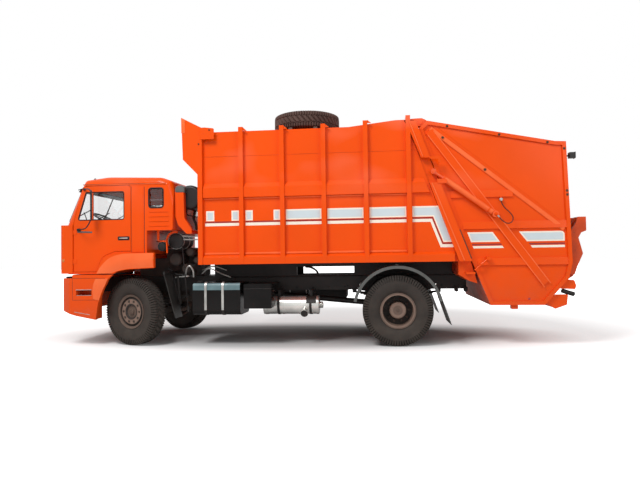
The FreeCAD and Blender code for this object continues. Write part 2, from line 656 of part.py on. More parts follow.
def hangers():
    """Fuel tank, battery box, silencer, air tanks and hydraulic tank, each on arms from the rails."""
    inner = S.rail_half + 0.5
    tank = slab([(-1180, 490, 90), (-1180, 1000, 60), (-570, 1000, 60), (-570, 490, 90)], -1870, -1095, "x")
    node("fuel_tank", feature(tank))
    straps = []
    for x in (-1655, -1378):
        ring = slab([(-1186, 484, 96), (-1186, 1006, 66), (-564, 1006, 66), (-564, 484, 96)], x - 20,
                    x + 20, "x")
        room = [(-1180.3, 489.7, 90), (-1180.3, 1000.3, 60), (-569.7, 1000.3, 60), (-569.7, 489.7, 90)]
        ring = ring.cut(slab(room, x - 30, x + 30, "x"))
        straps.append(ring.fuse(solid_box(x - 20, x + 20, -566, -inner, 850, 1000)).removeSplitter())
    BRACKETS.extend(straps)
    node("battery_box", feature(slab([(-1040, 590, 15), (-1040, 975, 15), (-600, 975, 15), (-600, 590, 15)],
                                     -1180, -960)))
    shelf = solid_box(-1030, -610, -958, -inner, 940, 975)
    silencer = Part.makeCylinder(145, 900, Vector(-790, -770, 610), Vector(1, 0, 0))
    silencer = silencer.fuse([Part.makeCylinder(38, 280, Vector(-100, -800, 600), Vector(0, -0.93, -0.36)),
                              Part.makeCylinder(50, 60, Vector(110, -770, 610), Vector(1, 0, 0))])
    node("silencer", feature(silencer.removeSplitter()))
    hooks = [Part.makeCylinder(152, 40, Vector(x, -770, 610), Vector(1, 0, 0)).cut(
        Part.makeCylinder(145.4, 60, Vector(x - 10, -770, 610), Vector(1, 0, 0))).fuse(
            solid_box(x, x + 40, -800, -inner, 758, 850)) for x in (-560, -40)]
    BRACKETS.extend([shelf] + [h.removeSplitter() for h in hooks])
    tanks = []
    for x0 in (-1750, -950):
        drum = Part.makeCylinder(140, 700, Vector(x0, 800, 760), Vector(1, 0, 0))
        arm = solid_box(x0 + 300, x0 + 360, inner, 800, 880, 960)
        tanks.append(drum.fuse(arm).removeSplitter())
    oil = slab([(-180, 600, 40), (-180, 1050, 40), (480, 1050, 40), (480, 600, 40)], 640, 1140)
    tanks.append(oil.fuse(solid_box(0, 300, inner, 642, 880, 980)).removeSplitter())
    node("side_tanks", feature(Part.makeCompound(tanks)))


def intake():
    """Air inlet drum behind the cab, its duct down to the canister with its drain pipe, and the filler."""
    drum = Part.makeCylinder(200, 900, Vector(-1972, -1000, 2388), Vector(0, 1, 0))
    node("intake_drum", feature(drum.makeFillet(50, [e for e in drum.Edges if e.Length > 500])))
    duct = slab([(-2130, 1930, 60), (-2176, 2060, 80), (-2176, 2570, 60), (-2040, 2570, 60),
                 (-2025, 2040, 80),
                 (-1930, 1900, 60), (-1905, 1850), (-1905, 1790), (-1990, 1790)], -1092, -1000.3)
    duct = duct.fuse([solid_box(-1990, -1905, -1092, -320, 1790, 1850),
                      solid_box(-1990, -1905, -480, -320, 1560.5, 1850)])
    node("intake_duct", feature(duct.removeSplitter()))
    around_drum = Part.makeCylinder(200.4, 940, Vector(-1972, -1020, 2388), Vector(0, 1, 0))
    canister = Part.makeCylinder(128, 520, Vector(-2230, -930, 1680), Vector(0, 1, 0))
    canister = canister.makeFillet(18, [e for e in canister.Edges if e.Length > 500])
    canister = canister.fuse(bar_between((-2135, -900, 1620), (-2035, -900, 520), 9))
    filler = Part.makeCylinder(75, 120, Vector(-2420, -1040, 1590), Vector(0, 1, 0))
    arm = solid_box(-2374, -2354, -1000, -300, 1560, 1620)
    filler = filler.fuse([arm, solid_box(-2420, -2354, -1000, -960, 1560, 1620)]).removeSplitter()
    node("air_filter", feature(Part.makeCompound([canister, filler])))
    cross = solid_box(-1900, -1850, -405, 405, 2119.5, 2180).cut(around_drum)
    BRACKETS.extend(both_sides(solid_box(-1900, -1850, -405, -355, S.rail_top + 0.3, 2119)) + [cross])


def mudguards():
    """Half-round guards over the twin wheels with their flaps, and the flap behind each front wheel."""
    x, z = S.rear_axle_x, S.tyre_radius
    guard = Part.makeCylinder(692, 640, Vector(x, 560, z), Vector(0, 1, 0)).cut(
        [Part.makeCylinder(684, 660, Vector(x, 550, z), Vector(0, 1, 0)),
         solid_box(x - 800, x + 800, 500, 1300, z - 800, z + 150)])
    stay = solid_box(x - 640, x - 600, S.rail_half + 0.5, 620, z + 310, z + 340)
    flap = slab([(x + 668, z + 155), (x + 676, z + 155), (x + 800, 330), (x + 792, 330)], 560, 1200)
    rear = guard.fuse([stay, flap]).removeSplitter()
    front = slab([(-2352, 1150), (-2340, 1150), (-2150, 440), (-2162, 440)], 860, 1165)
    front = front.fuse(solid_box(-2360, -2330, S.rail_half + 0.5, 1165, 1150, 1185)).removeSplitter()
    node("mudguards", feature(Part.makeCompound(both_sides(rear) + both_sides(front))))


# ---------------------------------------------------------------- waste body
def seam_x(z):
    """X of the slanted joint between the body and the tailgate at a height."""
    return 1700 + (3400 - z) * 0.3697


def folded(points, thickness, low, high):
    """A bent sheet: a polyline in XZ given a thickness to its right-hand side, from low to high along Y."""
    path = [Vector(p[0], 0, p[1]) for p in points]
    offsets = []
    for i, here in enumerate(path):
        before = (here - path[i - 1]).normalize() if i else None
        after = (path[i + 1] - here).normalize() if i + 1 < len(path) else None
        ways = [w for w in (before, after) if w is not None]
        sides = [Vector(w.z, 0, -w.x) for w in ways]
        mean = sides[0] if len(sides) == 1 else (sides[0] + sides[1]).normalize()
        offsets.append(here + mean * (thickness / mean.dot(sides[0])))
    ring = path + offsets[::-1]
    return slab([(p.x, p.z) for p in ring], low, high)


ROOF_LINE = ((-1750, 3390), (650, 3390), (1370, 3468), (1665, 3468))


def roof_z(x):
    """Height of the roof line at an X behind its front end."""
    for (x0, z0), (x1, z1) in zip(ROOF_LINE, ROOF_LINE[1:]):
        if x <= x1:
            return z0 + (z1 - z0) * (x - x0) / (x1 - x0)
    return z1


def body_sides():
    """Side sheet with its horizontal rails, on each side of the body."""
    skin, wall, front = S.body_half, S.sheet, S.body_front_x
    rear_low = seam_x(S.body_floor) - 200
    outline = list(ROOF_LINE[:3]) + [(1500, 3468), (seam_x(3000) - 162, 3000), (seam_x(2490) - 176, 2490),
                                     (rear_low, S.body_floor), (front, S.body_floor)]
    plate = slab(outline, -skin, wall - skin)
    rail = slab([(1 - skin, 2335), (-skin - 46, 2345), (-skin - 46, 2500), (1 - skin, 2570)],
                front + 80, 2010, "x")
    rail = rail.common(slab([(front, 1200), (front, 3600), (1362, 3600), (2330, 1200)], -1400, -1000))
    sill = slab([(1 - skin, 1290), (-skin - 60, 1290), (-skin - 60, 1400), (1 - skin, 1440)],
                front + 80, rear_low - 62, "x")
    node("body_sides", feature(Part.makeCompound(both_sides(plate.fuse([rail, sill]).removeSplitter()))))


def body_hoops():
    """Five hoops round the body: a rib on each side and a bow over the roof; and the two front posts."""
    hoops = []
    inner = S.body_half + 0.4
    for index in range(5):
        x = S.first_rib_x + index * S.rib_pitch
        end = x + S.rib_width
        outer = solid_box(x, end, -S.rib_half, S.rib_half, S.body_floor, roof_z(x) + 58)
        hollow = solid_box(x - 5, end + 5, -inner, inner, S.body_floor - 10, roof_z(end) + 8.5)
        rail = slab([(-S.body_half - 46.4, 2334.6), (-S.body_half - 46.4, 2500.3), (1 - inner, 2571),
                     (1 - inner, 2334.6)], x - 1, end + 1, "x")
        sill = slab([(-S.body_half - 60.4, 1289), (-S.body_half - 60.4, 1400.4), (1 - inner, 1441),
                     (1 - inner, 1289)], x - 1, end + 1, "x")
        hoops.append(outer.cut([hollow] + both_sides(rail) + both_sides(sill)))
    end_post = solid_box(S.body_front_x, S.body_front_x + 75, inner, S.rib_half, S.body_floor, 3396)
    hoops.extend(both_sides(end_post))
    node("body_hoops", feature(Part.makeCompound(hoops)))


def body_shells():
    """Roof, floor and front wall, and the slanted header above the cab."""
    wall, inner = S.sheet, S.body_half - S.sheet - 0.4
    roof = folded(ROOF_LINE, -wall, -inner, inner)
    floor = solid_box(S.body_front_x + wall + 0.5, 2275, -inner, inner, S.body_floor + 0.4, S.body_floor + 8)
    front = solid_box(S.body_front_x, S.body_front_x + wall, -inner, inner, S.body_floor, 3383)
    nose = [(-1751, 2720), (-1985, 2960), (-2006, 3630), (-1560, 3397), (-1751, 3397)]
    outer = slab(nose, -S.rib_half, S.rib_half)
    inside = slab([(-1740, 2728), (-1978, 2963), (-1999, 3618), (-1580, 3391), (-1740, 3391)],
                  wall - S.rib_half, S.rib_half - wall)
    header = outer.cut(inside).removeSplitter()
    node("body_panels", feature(Part.makeCompound([roof, floor, front, header])))


def rear_frame():
    """Slanted rear posts, split where the lift cylinder's eye sits, with sill, head beam and hinge lugs."""
    gap = 12

    def post(z0, z1, width0, width1):
        return slab([(seam_x(z0) - gap - width0, z0), (seam_x(z1) - gap - width1, z1),
                     (seam_x(z1) - gap, z1), (seam_x(z0) - gap, z0)], -S.rib_half, -S.body_half + 30)

    last_rib_end = S.first_rib_x + 4 * S.rib_pitch + S.rib_width
    posts = [post(2870, 3440, 135, 150).cut(solid_box(1400, last_rib_end + 0.5, -1300, -1100, 2800, 3500)),
             post(S.body_floor, 2490, 185, 160)]
    inner_post = slab([(seam_x(S.body_floor) - 195, S.body_floor), (seam_x(3440) - 175, 3440),
                       (seam_x(3440) - gap, 3440), (seam_x(S.body_floor) - gap, S.body_floor)], -1155, -1130)
    pad = Part.makeCylinder(34, 27, Vector(S.lift_body_x, -1157, S.lift_body_z), Vector(0, 1, 0))
    pieces = both_sides(inner_post.fuse(posts + [pad]))
    sill = slab([(2280, 1289.5), (2280, 1090), (2440, 990), (2560, 950),
                 (seam_x(S.body_floor) - gap, 1289.5)],
                -1129, 1129)
    sill = sill.cut(solid_box(2250, 2600, -S.rail_half - 0.5, S.rail_half + 0.5, 900, S.rail_top + 0.5))
    head = slab([(1540, 3380), (1540, 3440), (seam_x(3440) - gap, 3440), (seam_x(3380) - gap, 3380)],
                -1129, 1129)
    lugs = []
    for sign in (-1, 1):
        for inside in (1030, 1090):
            y0, y1 = sorted((sign * inside, sign * (inside + 20)))
            lug = slab([(1600, 3440, 0), (1600, 3500, 15), (1700, 3505, 15), (1822, 3505, 55),
                        (1822, 3385, 55),
                        (1700, 3385, 55), (1660, 3440)], y0, y1)
            lug = lug.cut(Part.makeCylinder(30, 60, Vector(S.gate_hinge_x, y0 - 20, S.gate_hinge_z),
                                            Vector(0, 1, 0)))
            lugs.append(lug)
    shelf = solid_box(2380, 2515, -1238, -1128.5, 1095, 1126)
    frame = pieces[0].fuse([pieces[1], sill, head] + lugs + both_sides(shelf))
    frame = frame.cut(solid_box(1500, 1666, -1180, 1180, 3457, 3475))
    pins = [Part.makeCylinder(S.pin_radius, 90, Vector(S.gate_hinge_x, y0, S.gate_hinge_z), Vector(0, 1, 0))
            for y0 in (-1115, 1025)]
    node("rear_frame", feature(frame.fuse(pins).removeSplitter()))


def turned_flat(section, centre):
    """A (distance along the axis, radius) section turned about a vertical axis through a point."""
    wire = Part.makePolygon([Vector(radius, 0, along) for along, radius in section + section[:1]])
    return Part.Face(wire).revolve(Vector(), Vector(0, 0, 1), 360).translated(centre)


def spare_wheel():
    """Spare wheel lying on the roof on two bearers."""
    centre = Vector(-85, -490, 3600)
    bead, outer = S.rim_radius, S.tyre_radius
    half = [(96, bead), (96, bead + 27), (128, bead + 56), (S.tyre_half, outer - 150),
            (S.tyre_half - 4, outer - 70), (118, outer - 12), (60, outer)]
    tyre = [(-along, radius) for along, radius in half] + list(reversed(half))
    node("spare_tyre", feature(turned_flat(tyre, centre)))
    rim = [(112, bead + 22), (102, bead + 22), (98, bead - 0.3), (-98, bead - 0.3), (-102, bead + 22),
           (-112, bead + 22), (-112, bead - 16), (46, bead - 16), (46, 120), (60, 120), (58, bead - 20),
           (112, bead - 16)]
    low, high = roof_z(centre.x) + S.sheet + 0.5, centre.z - S.tyre_half - 0.5
    bearers = [solid_box(centre.x + dx - 30, centre.x + dx + 30, centre.y - 560, centre.y + 560, low, high)
               for dx in (-200, 200)]
    node("spare_carrier", feature(Part.makeCompound([turned_flat(rim, centre)] + bearers)))


# ---------------------------------------------------------------- tailgate
def gate_outline(inset=0):
    """Side outline of the tailgate; inset draws the same outline smaller."""
    points = [(seam_x(3335), 3335), (1850, 3452), (3734, 3069), (3891, 3061), (3922, 2006), (3941, 1250),
              (3886, 1020), (3530, 622), (2741, 624), (2632, 900), (seam_x(1290), 1290)]
    if not inset:
        return points
    path = [Vector(a, 0, b) for a, b in points]
    moved = []
    for i, here in enumerate(path):
        before = (here - path[i - 1]).normalize()
        after = (path[(i + 1) % len(path)] - here).normalize()
        sides = [Vector(w.z, 0, -w.x) for w in (before, after)]
        mean = (sides[0] + sides[1]).normalize()
        spot = here + mean * (inset / mean.dot(sides[0]))
        moved.append((spot.x, spot.z))
    return moved


GUIDE_TOP, GUIDE_LOW = (1885, 3290), (3555, 945)


def gate_sides():
    """Side sheets with a border flange, the slanted guide beam and the lift cylinder's pin."""
    foot_y, outer = -1158, -S.rib_half
    plate = slab(gate_outline(), -1128, -1120)
    flange = slab(gate_outline(), -1160, -1127).cut(slab(gate_outline(55), -1170, -1110))
    guide = beam_between(GUIDE_TOP, GUIDE_LOW, -1157, -1127, 120).common(slab(gate_outline(10), -1300, -1000))
    boss = Part.makeCylinder(70, 33, Vector(S.lift_tail_x, foot_y, S.lift_tail_z), Vector(0, 1, 0))
    pin = Part.makeCylinder(S.pin_radius - 5, 90, Vector(S.lift_tail_x, outer + 3, S.lift_tail_z),
                            Vector(0, 1, 0))
    folds = [solid_box(seam_x(low) + 20, end, -1145, -1127, low, high)
             for low, high, end in ((1220, 1335, 3900), (1770, 1885, 3890), (2250, 2360, 2600))]
    side = plate.fuse([flange, guide, boss, pin] + folds + clamp_bolt() + hose_fittings()).removeSplitter()
    node("gate_sides", feature(Part.makeCompound(both_sides(side))))


def clamp_bolt():
    """The swing bolt that pulls the tailgate shut, on its lug; its lower end stands over the body's shelf."""
    low, high = Vector(2512, -1205, 1152), Vector(2717, -1205, 1328)
    way = (high - low).normalize()
    nut = Part.makeCylinder(24, 45, low + way * 120, way)
    lug = solid_box(2690, 2745, -1222, -1127, 1300, 1356)
    return [bar_between(tuple(low), tuple(high), 13), nut, lug]


HOSE_RADIUS = 7
HOSE_ROUTE = [(2930, -1166, 2214), (2936, -1169, 2150), (2980, -1178, 2078), (3042, -1190, 2020),
              (3092, -1205, 1945), (3075, -1225, 1868), (3000, -1240, 1838), (2915, -1252, 1890),
              (2858, -1262, 1965)]


def hose_fittings():
    """Elbow on the side sheet where the lift hose starts, and the banjo on the pin's end where it goes in."""
    start, end, before = Vector(*HOSE_ROUTE[0]), Vector(*HOSE_ROUTE[-1]), Vector(*HOSE_ROUTE[-2])
    up = (start - Vector(*HOSE_ROUTE[1])).normalize()
    on = (end - before).normalize()
    top = start + up * 30
    elbow = [Part.makeCylinder(12, 34, start, up), Part.makeSphere(13, top),
             Part.makeCylinder(13, -1125 - top.y, top, Vector(0, 1, 0))]
    pin_end = Vector(S.lift_tail_x, end.y, S.lift_tail_z)
    banjo = [Part.makeCylinder(12, (pin_end - end).Length - 8, end, on),
             Part.makeCylinder(17, 26, pin_end - Vector(0, 8, 0), Vector(0, 1, 0))]
    return elbow + banjo


def hose_path(route):
    """Straight runs joined by tangent arcs; an arc takes up 0.45 of the shorter run beside it."""
    points = [Vector(*p) for p in route]
    edges, start = [], points[0]
    for before, here, after in zip(points, points[1:], points[2:]):
        back, ahead = (before - here), (after - here)
        reach = 0.45 * min(back.Length, ahead.Length)
        back, ahead = back.normalize(), ahead.normalize()
        half = back.getAngle(ahead) / 2
        radius = reach * math.tan(half)
        middle = here + (back + ahead).normalize() * (radius / math.sin(half) - radius)
        enter, leave = here + back * reach, here + ahead * reach
        edges += [Part.LineSegment(start, enter).toShape(), Part.Arc(enter, middle, leave).toShape()]
        print("hose bend radius %.0f mm" % radius)
        start = leave
    edges.append(Part.LineSegment(start, points[-1]).toShape())
    return Part.Wire(edges)


def lift_hose(side_name, side):
    """Hydraulic hose looped from the elbow on the tailgate's side to the lift cylinder's foot."""
    path = hose_path(HOSE_ROUTE)
    first = Vector(*HOSE_ROUTE[1]) - Vector(*HOSE_ROUTE[0])
    section = Part.Wire(Part.makeCircle(HOSE_RADIUS, Vector(*HOSE_ROUTE[0]), first))
    tube = path.makePipeShell([section], True, True)
    print("hose length %.0f mm, volume over section times length %.4f"
          % (path.Length, tube.Volume / (math.pi * HOSE_RADIUS ** 2 * path.Length)))
    node(f"hose_gate_{side_name}", feature(on_side(tube, side)))


def gate_shells():
    """Cover over the top and upper rear, the hopper trough below, and the frame with the hinge ears."""
    inner = 1119.6
    cover = folded([(1850, 3452), (3734, 3069), (3891, 3061), (3912, 2060)], 8, -inner, inner)
    trough = folded([(3905, 1260), (3905, 1222), (3856, 1007), (3516, 620), (2741, 624), (2632, 900),
                     (seam_x(1290), 1290), (seam_x(1500), 1500)], 10, -inner, inner)
    node("gate_hopper", feature(trough.fuse(lifter_brackets(trough)).removeSplitter()))
    tube = solid_box(1880, 1960, -inner, inner, 3300, 3380)
    lip = solid_box(3828, 3908, -inner, inner, 2060, 2130)
    node("gate_cover", feature(cover.fuse(lip).removeSplitter()))
    frame = [tube]
    for sign in (-1, 1):
        y0, y1 = sorted((sign * 1055, sign * 1085))
        ear = slab([(1702, 3498, 55), (1818, 3498, 55), (1960, 3380), (1960, 3300), (1880, 3300),
                    (1702, 3382, 55)], y0, y1)
        frame.append(ear.cut(Part.makeCylinder(S.pin_radius + 0.3, 60,
                                               Vector(S.gate_hinge_x, y0 - 15, S.gate_hinge_z),
                                               Vector(0, 1, 0))))
    slit = [cover.translated(Vector(0, 0, rise)) for rise in (-0.3, 0, 0.3)]
    node("gate_frame", feature(frame[0].fuse(frame[1:]).cut(slit).removeSplitter()))
    lamps = [solid_box(3892, 3935, *sorted((sign * 1020, sign * 1110)), 1560, 1860) for sign in (-1, 1)]
    work_lamp = solid_box(3970, 4050, -1070, -980, 2825, 2910)
    lamps.append(work_lamp.fuse(solid_box(3898, 3970, -1040, -1010, 2850, 2870)).removeSplitter())
    node("gate_lamps", feature(Part.makeCompound(lamps)))


def packer():
    """Carriage plate that slides along the guides, and the packing blade hinged to its lower end."""
    direction = Vector(GUIDE_LOW[0] - GUIDE_TOP[0], 0, GUIDE_LOW[1] - GUIDE_TOP[1]).normalize()
    hinge = Vector(3060, 0, 1640)
    top = hinge - direction * 1180
    low = hinge - direction * 75
    plate = beam_between((top.x, top.z), (low.x, low.z), -1100, 1100, 70)
    lugs = []
    for y in (-1000, -30, 940):
        lug = beam_between((low.x, low.z), (hinge.x + direction.x * 30, hinge.z + direction.z * 30), y,
                           y + 60, 70)
        lugs.append(lug.cut(Part.makeCylinder(25, 120, Vector(hinge.x, y - 30, hinge.z), Vector(0, 1, 0))))
    pin = Part.makeCylinder(25, 2100, Vector(hinge.x, -1050, hinge.z), Vector(0, 1, 0))
    node("packer_carriage", feature(plate.fuse(lugs).fuse(pin).removeSplitter()))
    tip = Vector(2990, 0, 800)
    blade = folded([(hinge.x - 35, hinge.z - 70), (tip.x - 30, 1150), (tip.x + 60, tip.z)], -60, -1090, 1090)
    ears = []
    for y in (-1080, -900, 860, 1040):
        ear = slab([(hinge.x - 45, hinge.z + 45, 40), (hinge.x + 45, hinge.z + 45, 40),
                    (hinge.x + 45, hinge.z - 75),
                    (hinge.x - 45, hinge.z - 75)], y, y + 35)
        ears.append(ear.cut(Part.makeCylinder(25.3, 120, Vector(hinge.x, y - 30, hinge.z), Vector(0, 1, 0))))
    node("packer_blade", feature(blade.fuse(ears).removeSplitter()))


def lift_cylinder(side_name, side):
    """Barrel on the tailgate's pin, and the rod whose eye stands before its bracket on the body's post."""
    foot = Vector(S.lift_tail_x, -S.lift_y, S.lift_tail_z)
    eye = Vector(S.lift_body_x, -S.lift_y, S.lift_body_z)
    way = (eye - foot).normalize()
    barrel = Part.makeCylinder(41, 900, foot + way * 55, way)
    bore = Part.makeCylinder(22.3, 870, foot + way * 90, way)
    knuckle_eye = Part.makeCylinder(48, 60, foot - Vector(0, 30, 0), Vector(0, 1, 0))
    barrel = barrel.fuse(knuckle_eye).cut(bore)
    barrel = barrel.cut(Part.makeCylinder(S.pin_radius - 4.7, 200, foot - Vector(0, 100, 0), Vector(0, 1, 0)))
    node(f"lift_barrel_{side_name}", feature(on_side(barrel.removeSplitter(), side)))
    rod_end = Part.makeCylinder(42, 56, eye - Vector(0, 28, 0), Vector(0, 1, 0))
    rod_end = rod_end.fuse(Part.makeCylinder(25, 78, eye - Vector(0, 38, 0), Vector(0, 1, 0)))
    shaft = Part.makeCylinder(22, (eye - foot).Length - 100, foot + way * 98, way)
    node(f"lift_rod_{side_name}", feature(on_side(shaft.fuse(rod_end).removeSplitter(), side)))


LIFTER_X, LIFTER_Z, LIFTER_REACH = 3965, 1095, 220


def lifter_brackets(trough):
    """Two ears on the hopper that hold the bin lifter's shaft."""
    x, z = LIFTER_X, LIFTER_Z
    ears = []
    for y in (-978, 928):
        ear = slab([(3800, 960), (3850, 1200), (3915, 1200), (x + 45, z + 45, 40), (x + 45, z - 45, 40),
                    (3880, 960)],
                   y, y + 50)
        ear = ear.cut([Part.makeCylinder(28.3, 120, Vector(x, y - 30, z), Vector(0, 1, 0)), trough])
        ears.append(max(ear.Solids, key=lambda solid: solid.CenterOfMass.x))
    return ears


def bin_lifter():
    """Comb that takes a bin by its rim, on two arms that turn about a shaft below the loading edge."""
    x, z = LIFTER_X, LIFTER_Z
    shaft = Part.makeCylinder(28, 2100, Vector(x, -1050, z), Vector(0, 1, 0))
    parts = [solid_box(x - 15, x + 30, -1001, 1001, 1290, 1500),
             solid_box(x - 15, x + 45, -1001, 1001, 1640, 1760)]
    for y in (-1050, 1000):
        parts.append(slab([(x - 20, z - 30, 20), (x - 20, 1700), (x + 75, 1850), (x + 95, 1934, 20),
                           (x + LIFTER_REACH, 1934, 10), (x + LIFTER_REACH, 1724, 10), (x + 147, 1696),
                           (x + 105, 1621), (x + 164, 1381, 20), (x + 78, 1187),
                           (x + 35, z - 30, 20)], y, y + 50))
    for index in range(13):
        y = -920 + index * 150
        parts.append(slab([(x + 30, 1750), (x + 30, 1790), (x + 95, 1934, 20), (x + LIFTER_REACH, 1934, 10),
                           (x + LIFTER_REACH, 1800, 10), (x + 150, 1790, 10), (x + 44, 1700)], y, y + 40))
    node("bin_lifter", feature(shaft.fuse(parts).removeSplitter()))


# ---------------------------------------------------------------- build and write
def build():
    chassis_frame()
    sub_frame()
    leaf_springs()
    front_axle()
    rear_axle()
    drive_train()
    wheels()
    cab_shell()
    cab_panels()
    cab_glass()
    cab_inside()
    for side_name, side in SIDES:
        knuckle(f"knuckle_{side_name}", side)
        door(side_name, side)
        lift_cylinder(side_name, side)
        lift_hose(side_name, side)
    front_bumper()
    hangers()
    intake()
    node("brackets", feature(Part.makeCompound(BRACKETS)))
    mudguards()
    body_sides()
    body_hoops()
    body_shells()
    rear_frame()
    spare_wheel()
    gate_sides()
    gate_shells()
    packer()
    bin_lifter()


def check():
    doc.recompute()
    faults = [f"{o.Label}: {o.State}" for o in doc.Objects if "Invalid" in o.State or "Error" in o.State]
    for obj in NODES:
        if obj.Shape.isNull() or not obj.Shape.isValid() or obj.Shape.Volume <= 0:
            faults.append(f"{obj.Label}: bad shape")
    if faults:
        raise RuntimeError("; ".join(faults))


build()
check()
os.makedirs("parts", exist_ok=True)
for obj in NODES:
    obj.Shape.exportStep(f"parts/{obj.Label}.step")
print(len(NODES), "nodes")
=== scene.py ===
"""Rear-loading garbage truck: the looks of each piece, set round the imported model.

Metres in the model's own frame: +Z is up from the ground, the truck's front is towards -X and its left
side is towards -Y.
"""

import math

import bmesh
import bpy
import numpy as np
from bpy.props import FloatProperty, FloatVectorProperty, IntProperty, PointerProperty
from mathutils import Matrix


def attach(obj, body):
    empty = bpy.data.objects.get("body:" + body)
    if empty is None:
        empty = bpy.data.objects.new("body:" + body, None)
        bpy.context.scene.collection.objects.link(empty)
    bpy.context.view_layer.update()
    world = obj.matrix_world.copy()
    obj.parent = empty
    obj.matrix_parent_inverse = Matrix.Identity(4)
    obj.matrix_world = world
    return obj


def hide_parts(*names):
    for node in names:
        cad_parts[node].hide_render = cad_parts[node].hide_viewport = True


bl_info = {
    "name": "Garbage Truck",
    "version": (1, 0, 0),
    "blender": (4, 5, 0),
    "location": "3D View > Sidebar > Truck",
    "description": "Builds the visible pieces and finishes of a rear-loading garbage truck",
    "category": "Object",
}

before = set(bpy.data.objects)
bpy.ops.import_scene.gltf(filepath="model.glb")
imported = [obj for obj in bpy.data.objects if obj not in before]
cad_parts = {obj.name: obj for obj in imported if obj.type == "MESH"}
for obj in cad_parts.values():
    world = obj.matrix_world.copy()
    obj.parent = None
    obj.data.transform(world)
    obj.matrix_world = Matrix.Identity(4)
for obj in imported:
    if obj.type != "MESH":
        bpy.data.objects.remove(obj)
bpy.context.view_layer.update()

# ---------------------------------------------------------------- places taken from the model
WHEEL_Z = 0.543                      # height of every road wheel's axle
FRONT_X, REAR_X = -2.84, 1.36        # the two axles
FRONT_Y = 1.013                      # middle plane of a front tyre, straight ahead
KINGPIN_Y = 0.865
STEER = math.radians(-20.0)          # turn of the parked front wheels about their kingpins
TWIN_Y = (1.05, 0.722)               # middle planes of the twin tyres
SPARE = (-0.085, -0.49, 3.6)         # centre of the spare wheel
CAB_SKIN = 1.17                      # outer face of the cab's side from the centre plane
BODY_SKIN = 1.185                    # outer face of the waste body's side sheet
RIB_STEP, RIB_WIDTH = 0.652, 0.07
RIBS = tuple(-1.085 + RIB_STEP * i for i in range(5))         # front edge of each upright rib
GATE_SKIN = 1.128                    # outer face of the tailgate's side sheet
POST_FACE = 1.2505                   # just outside the outer face of the waste body's ribs and posts
RAIL_FACE = 0.4325                   # just outside the outer face of the frame rail
SPRING_Z = 0.69                      # height of the leaf springs over the axles
CLEAR = 0.0004                       # gap between a skin and a piece that stands on it
LIP_FACE = 1.1605                    # outer face of the lips along the tailgate's guide beam
FOLD_LOW, FOLD_HIGH = 1.1566, 1.1462  # outer face of a tailgate fold at its lower and its upper edge
LIFT_FOOT, LIFT_EYE = (2.833, 1.99), (1.93, 2.66)             # X and Z of a lift cylinder's two pins
LIFT_Y = 1.205                       # middle plane of a lift cylinder


# ---------------------------------------------------------------- sizes and colours that a user may change
def colour(name, description, value):
    """A colour property."""
    return FloatVectorProperty(name=name, description=description, default=value, subtype="COLOR", size=3,
                               min=0.0, max=1.0)


def length(name, description, value):
    """A length property in metres."""
    return FloatProperty(name=name, description=description, default=value, unit="LENGTH", subtype="DISTANCE")


class TruckColours(bpy.types.PropertyGroup):
    """Colours of the truck's finishes"""
    body: colour("Body paint", "Gloss paint of the cab, waste body and tailgate", (0.84, 0.08, 0.0032))
    chassis: colour("Chassis paint", "Black paint of the frame", (0.009, 0.008, 0.008))
    tyre: colour("Tyre", "Rubber of the tyres under its dust", (0.022, 0.018, 0.016))
    dust: colour("Dust", "Dry road dust", (0.15, 0.12, 0.095))
    rim: colour("Rims", "Paint of the wheels under its dust", (0.12, 0.08, 0.062))
    steel: colour("Bare steel", "Zinc and bare steel", (0.42, 0.42, 0.4))
    stripe_pale: colour("Stripe middle", "Pale middle of the stripes", (0.6, 0.69, 0.72))
    stripe_cream: colour("Stripe border", "Cream border of the stripes", (0.9, 0.83, 0.7))
    stripe_line: colour("Stripe line", "Dark line under the stripes", (0.33, 0.035, 0.03))
    lens_red: colour("Red lens", "Tail lamps and the round marks on the tailgate", (0.45, 0.01, 0.008))
    lens_amber: colour("Amber lens", "Turn signals and side markers", (0.7, 0.2, 0.01))
    seat: colour("Seat cloth", "Cloth of the seats and the bunk", (0.06, 0.062, 0.07))


class TruckSizes(bpy.types.PropertyGroup):
    """Sizes of the truck's small parts"""
    lugs: IntProperty(name="Tyre lugs", description="Tread lugs round one tyre", default=80, min=20, max=120)
    groove: length("Groove depth", "Depth of the tread grooves", 0.018)
    wheel_nut: length("Wheel nut", "Radius of a wheel nut across its corners", 0.018)
    bolt: length("Bolt head", "Radius of a frame bolt's head across its corners", 0.014)
    seal: length("Window seal", "Radius of a rubber window seal", 0.009)
    stripe_top: length("Stripe top", "Height of the body stripe's top edge above the ground", 2.137)
    stripe_band: length("Stripe band", "Height of the stripe's band", 0.161)
    stripe_border: length("Stripe border", "Width of the stripe's cream border", 0.022)
    vinyl: length("Vinyl", "Thickness of one layer of the stripes", 0.0012)


# ---------------------------------------------------------------- surfaces worked out with numpy
def unit(v):
    """Vectors brought to length one."""
    v = np.asarray(v, float)
    return v / np.maximum(np.linalg.norm(v, axis=-1, keepdims=True), 1e-12)


def loft(rows, closed=False):
    """Skin through rows of points, each row a closed ring: quads join neighbouring rings.

    The two end rings get a flat face each, or are joined to each other when closed.
    """
    rows = np.asarray(rows, float)
    count, ring = rows.shape[:2]
    first = np.arange(count if closed else count - 1)[:, None]
    after = (first + 1) % count * ring
    here = np.arange(ring)
    ahead = (here + 1) % ring
    first = first * ring
    faces = [np.stack([first + here, first + ahead, after + ahead, after + here], -1).reshape(-1, 4)]
    if not closed:
        faces += [here[None, ::-1], (count - 1) * ring + here[None]]
    return rows.reshape(-1, 3), faces


def join(*shapes):
    """Several shapes as one."""
    starts = np.cumsum([0] + [len(verts) for verts, _ in shapes])
    return (np.concatenate([verts for verts, _ in shapes]),
            [block + start for start, (_, faces) in zip(starts, shapes) for block in faces])


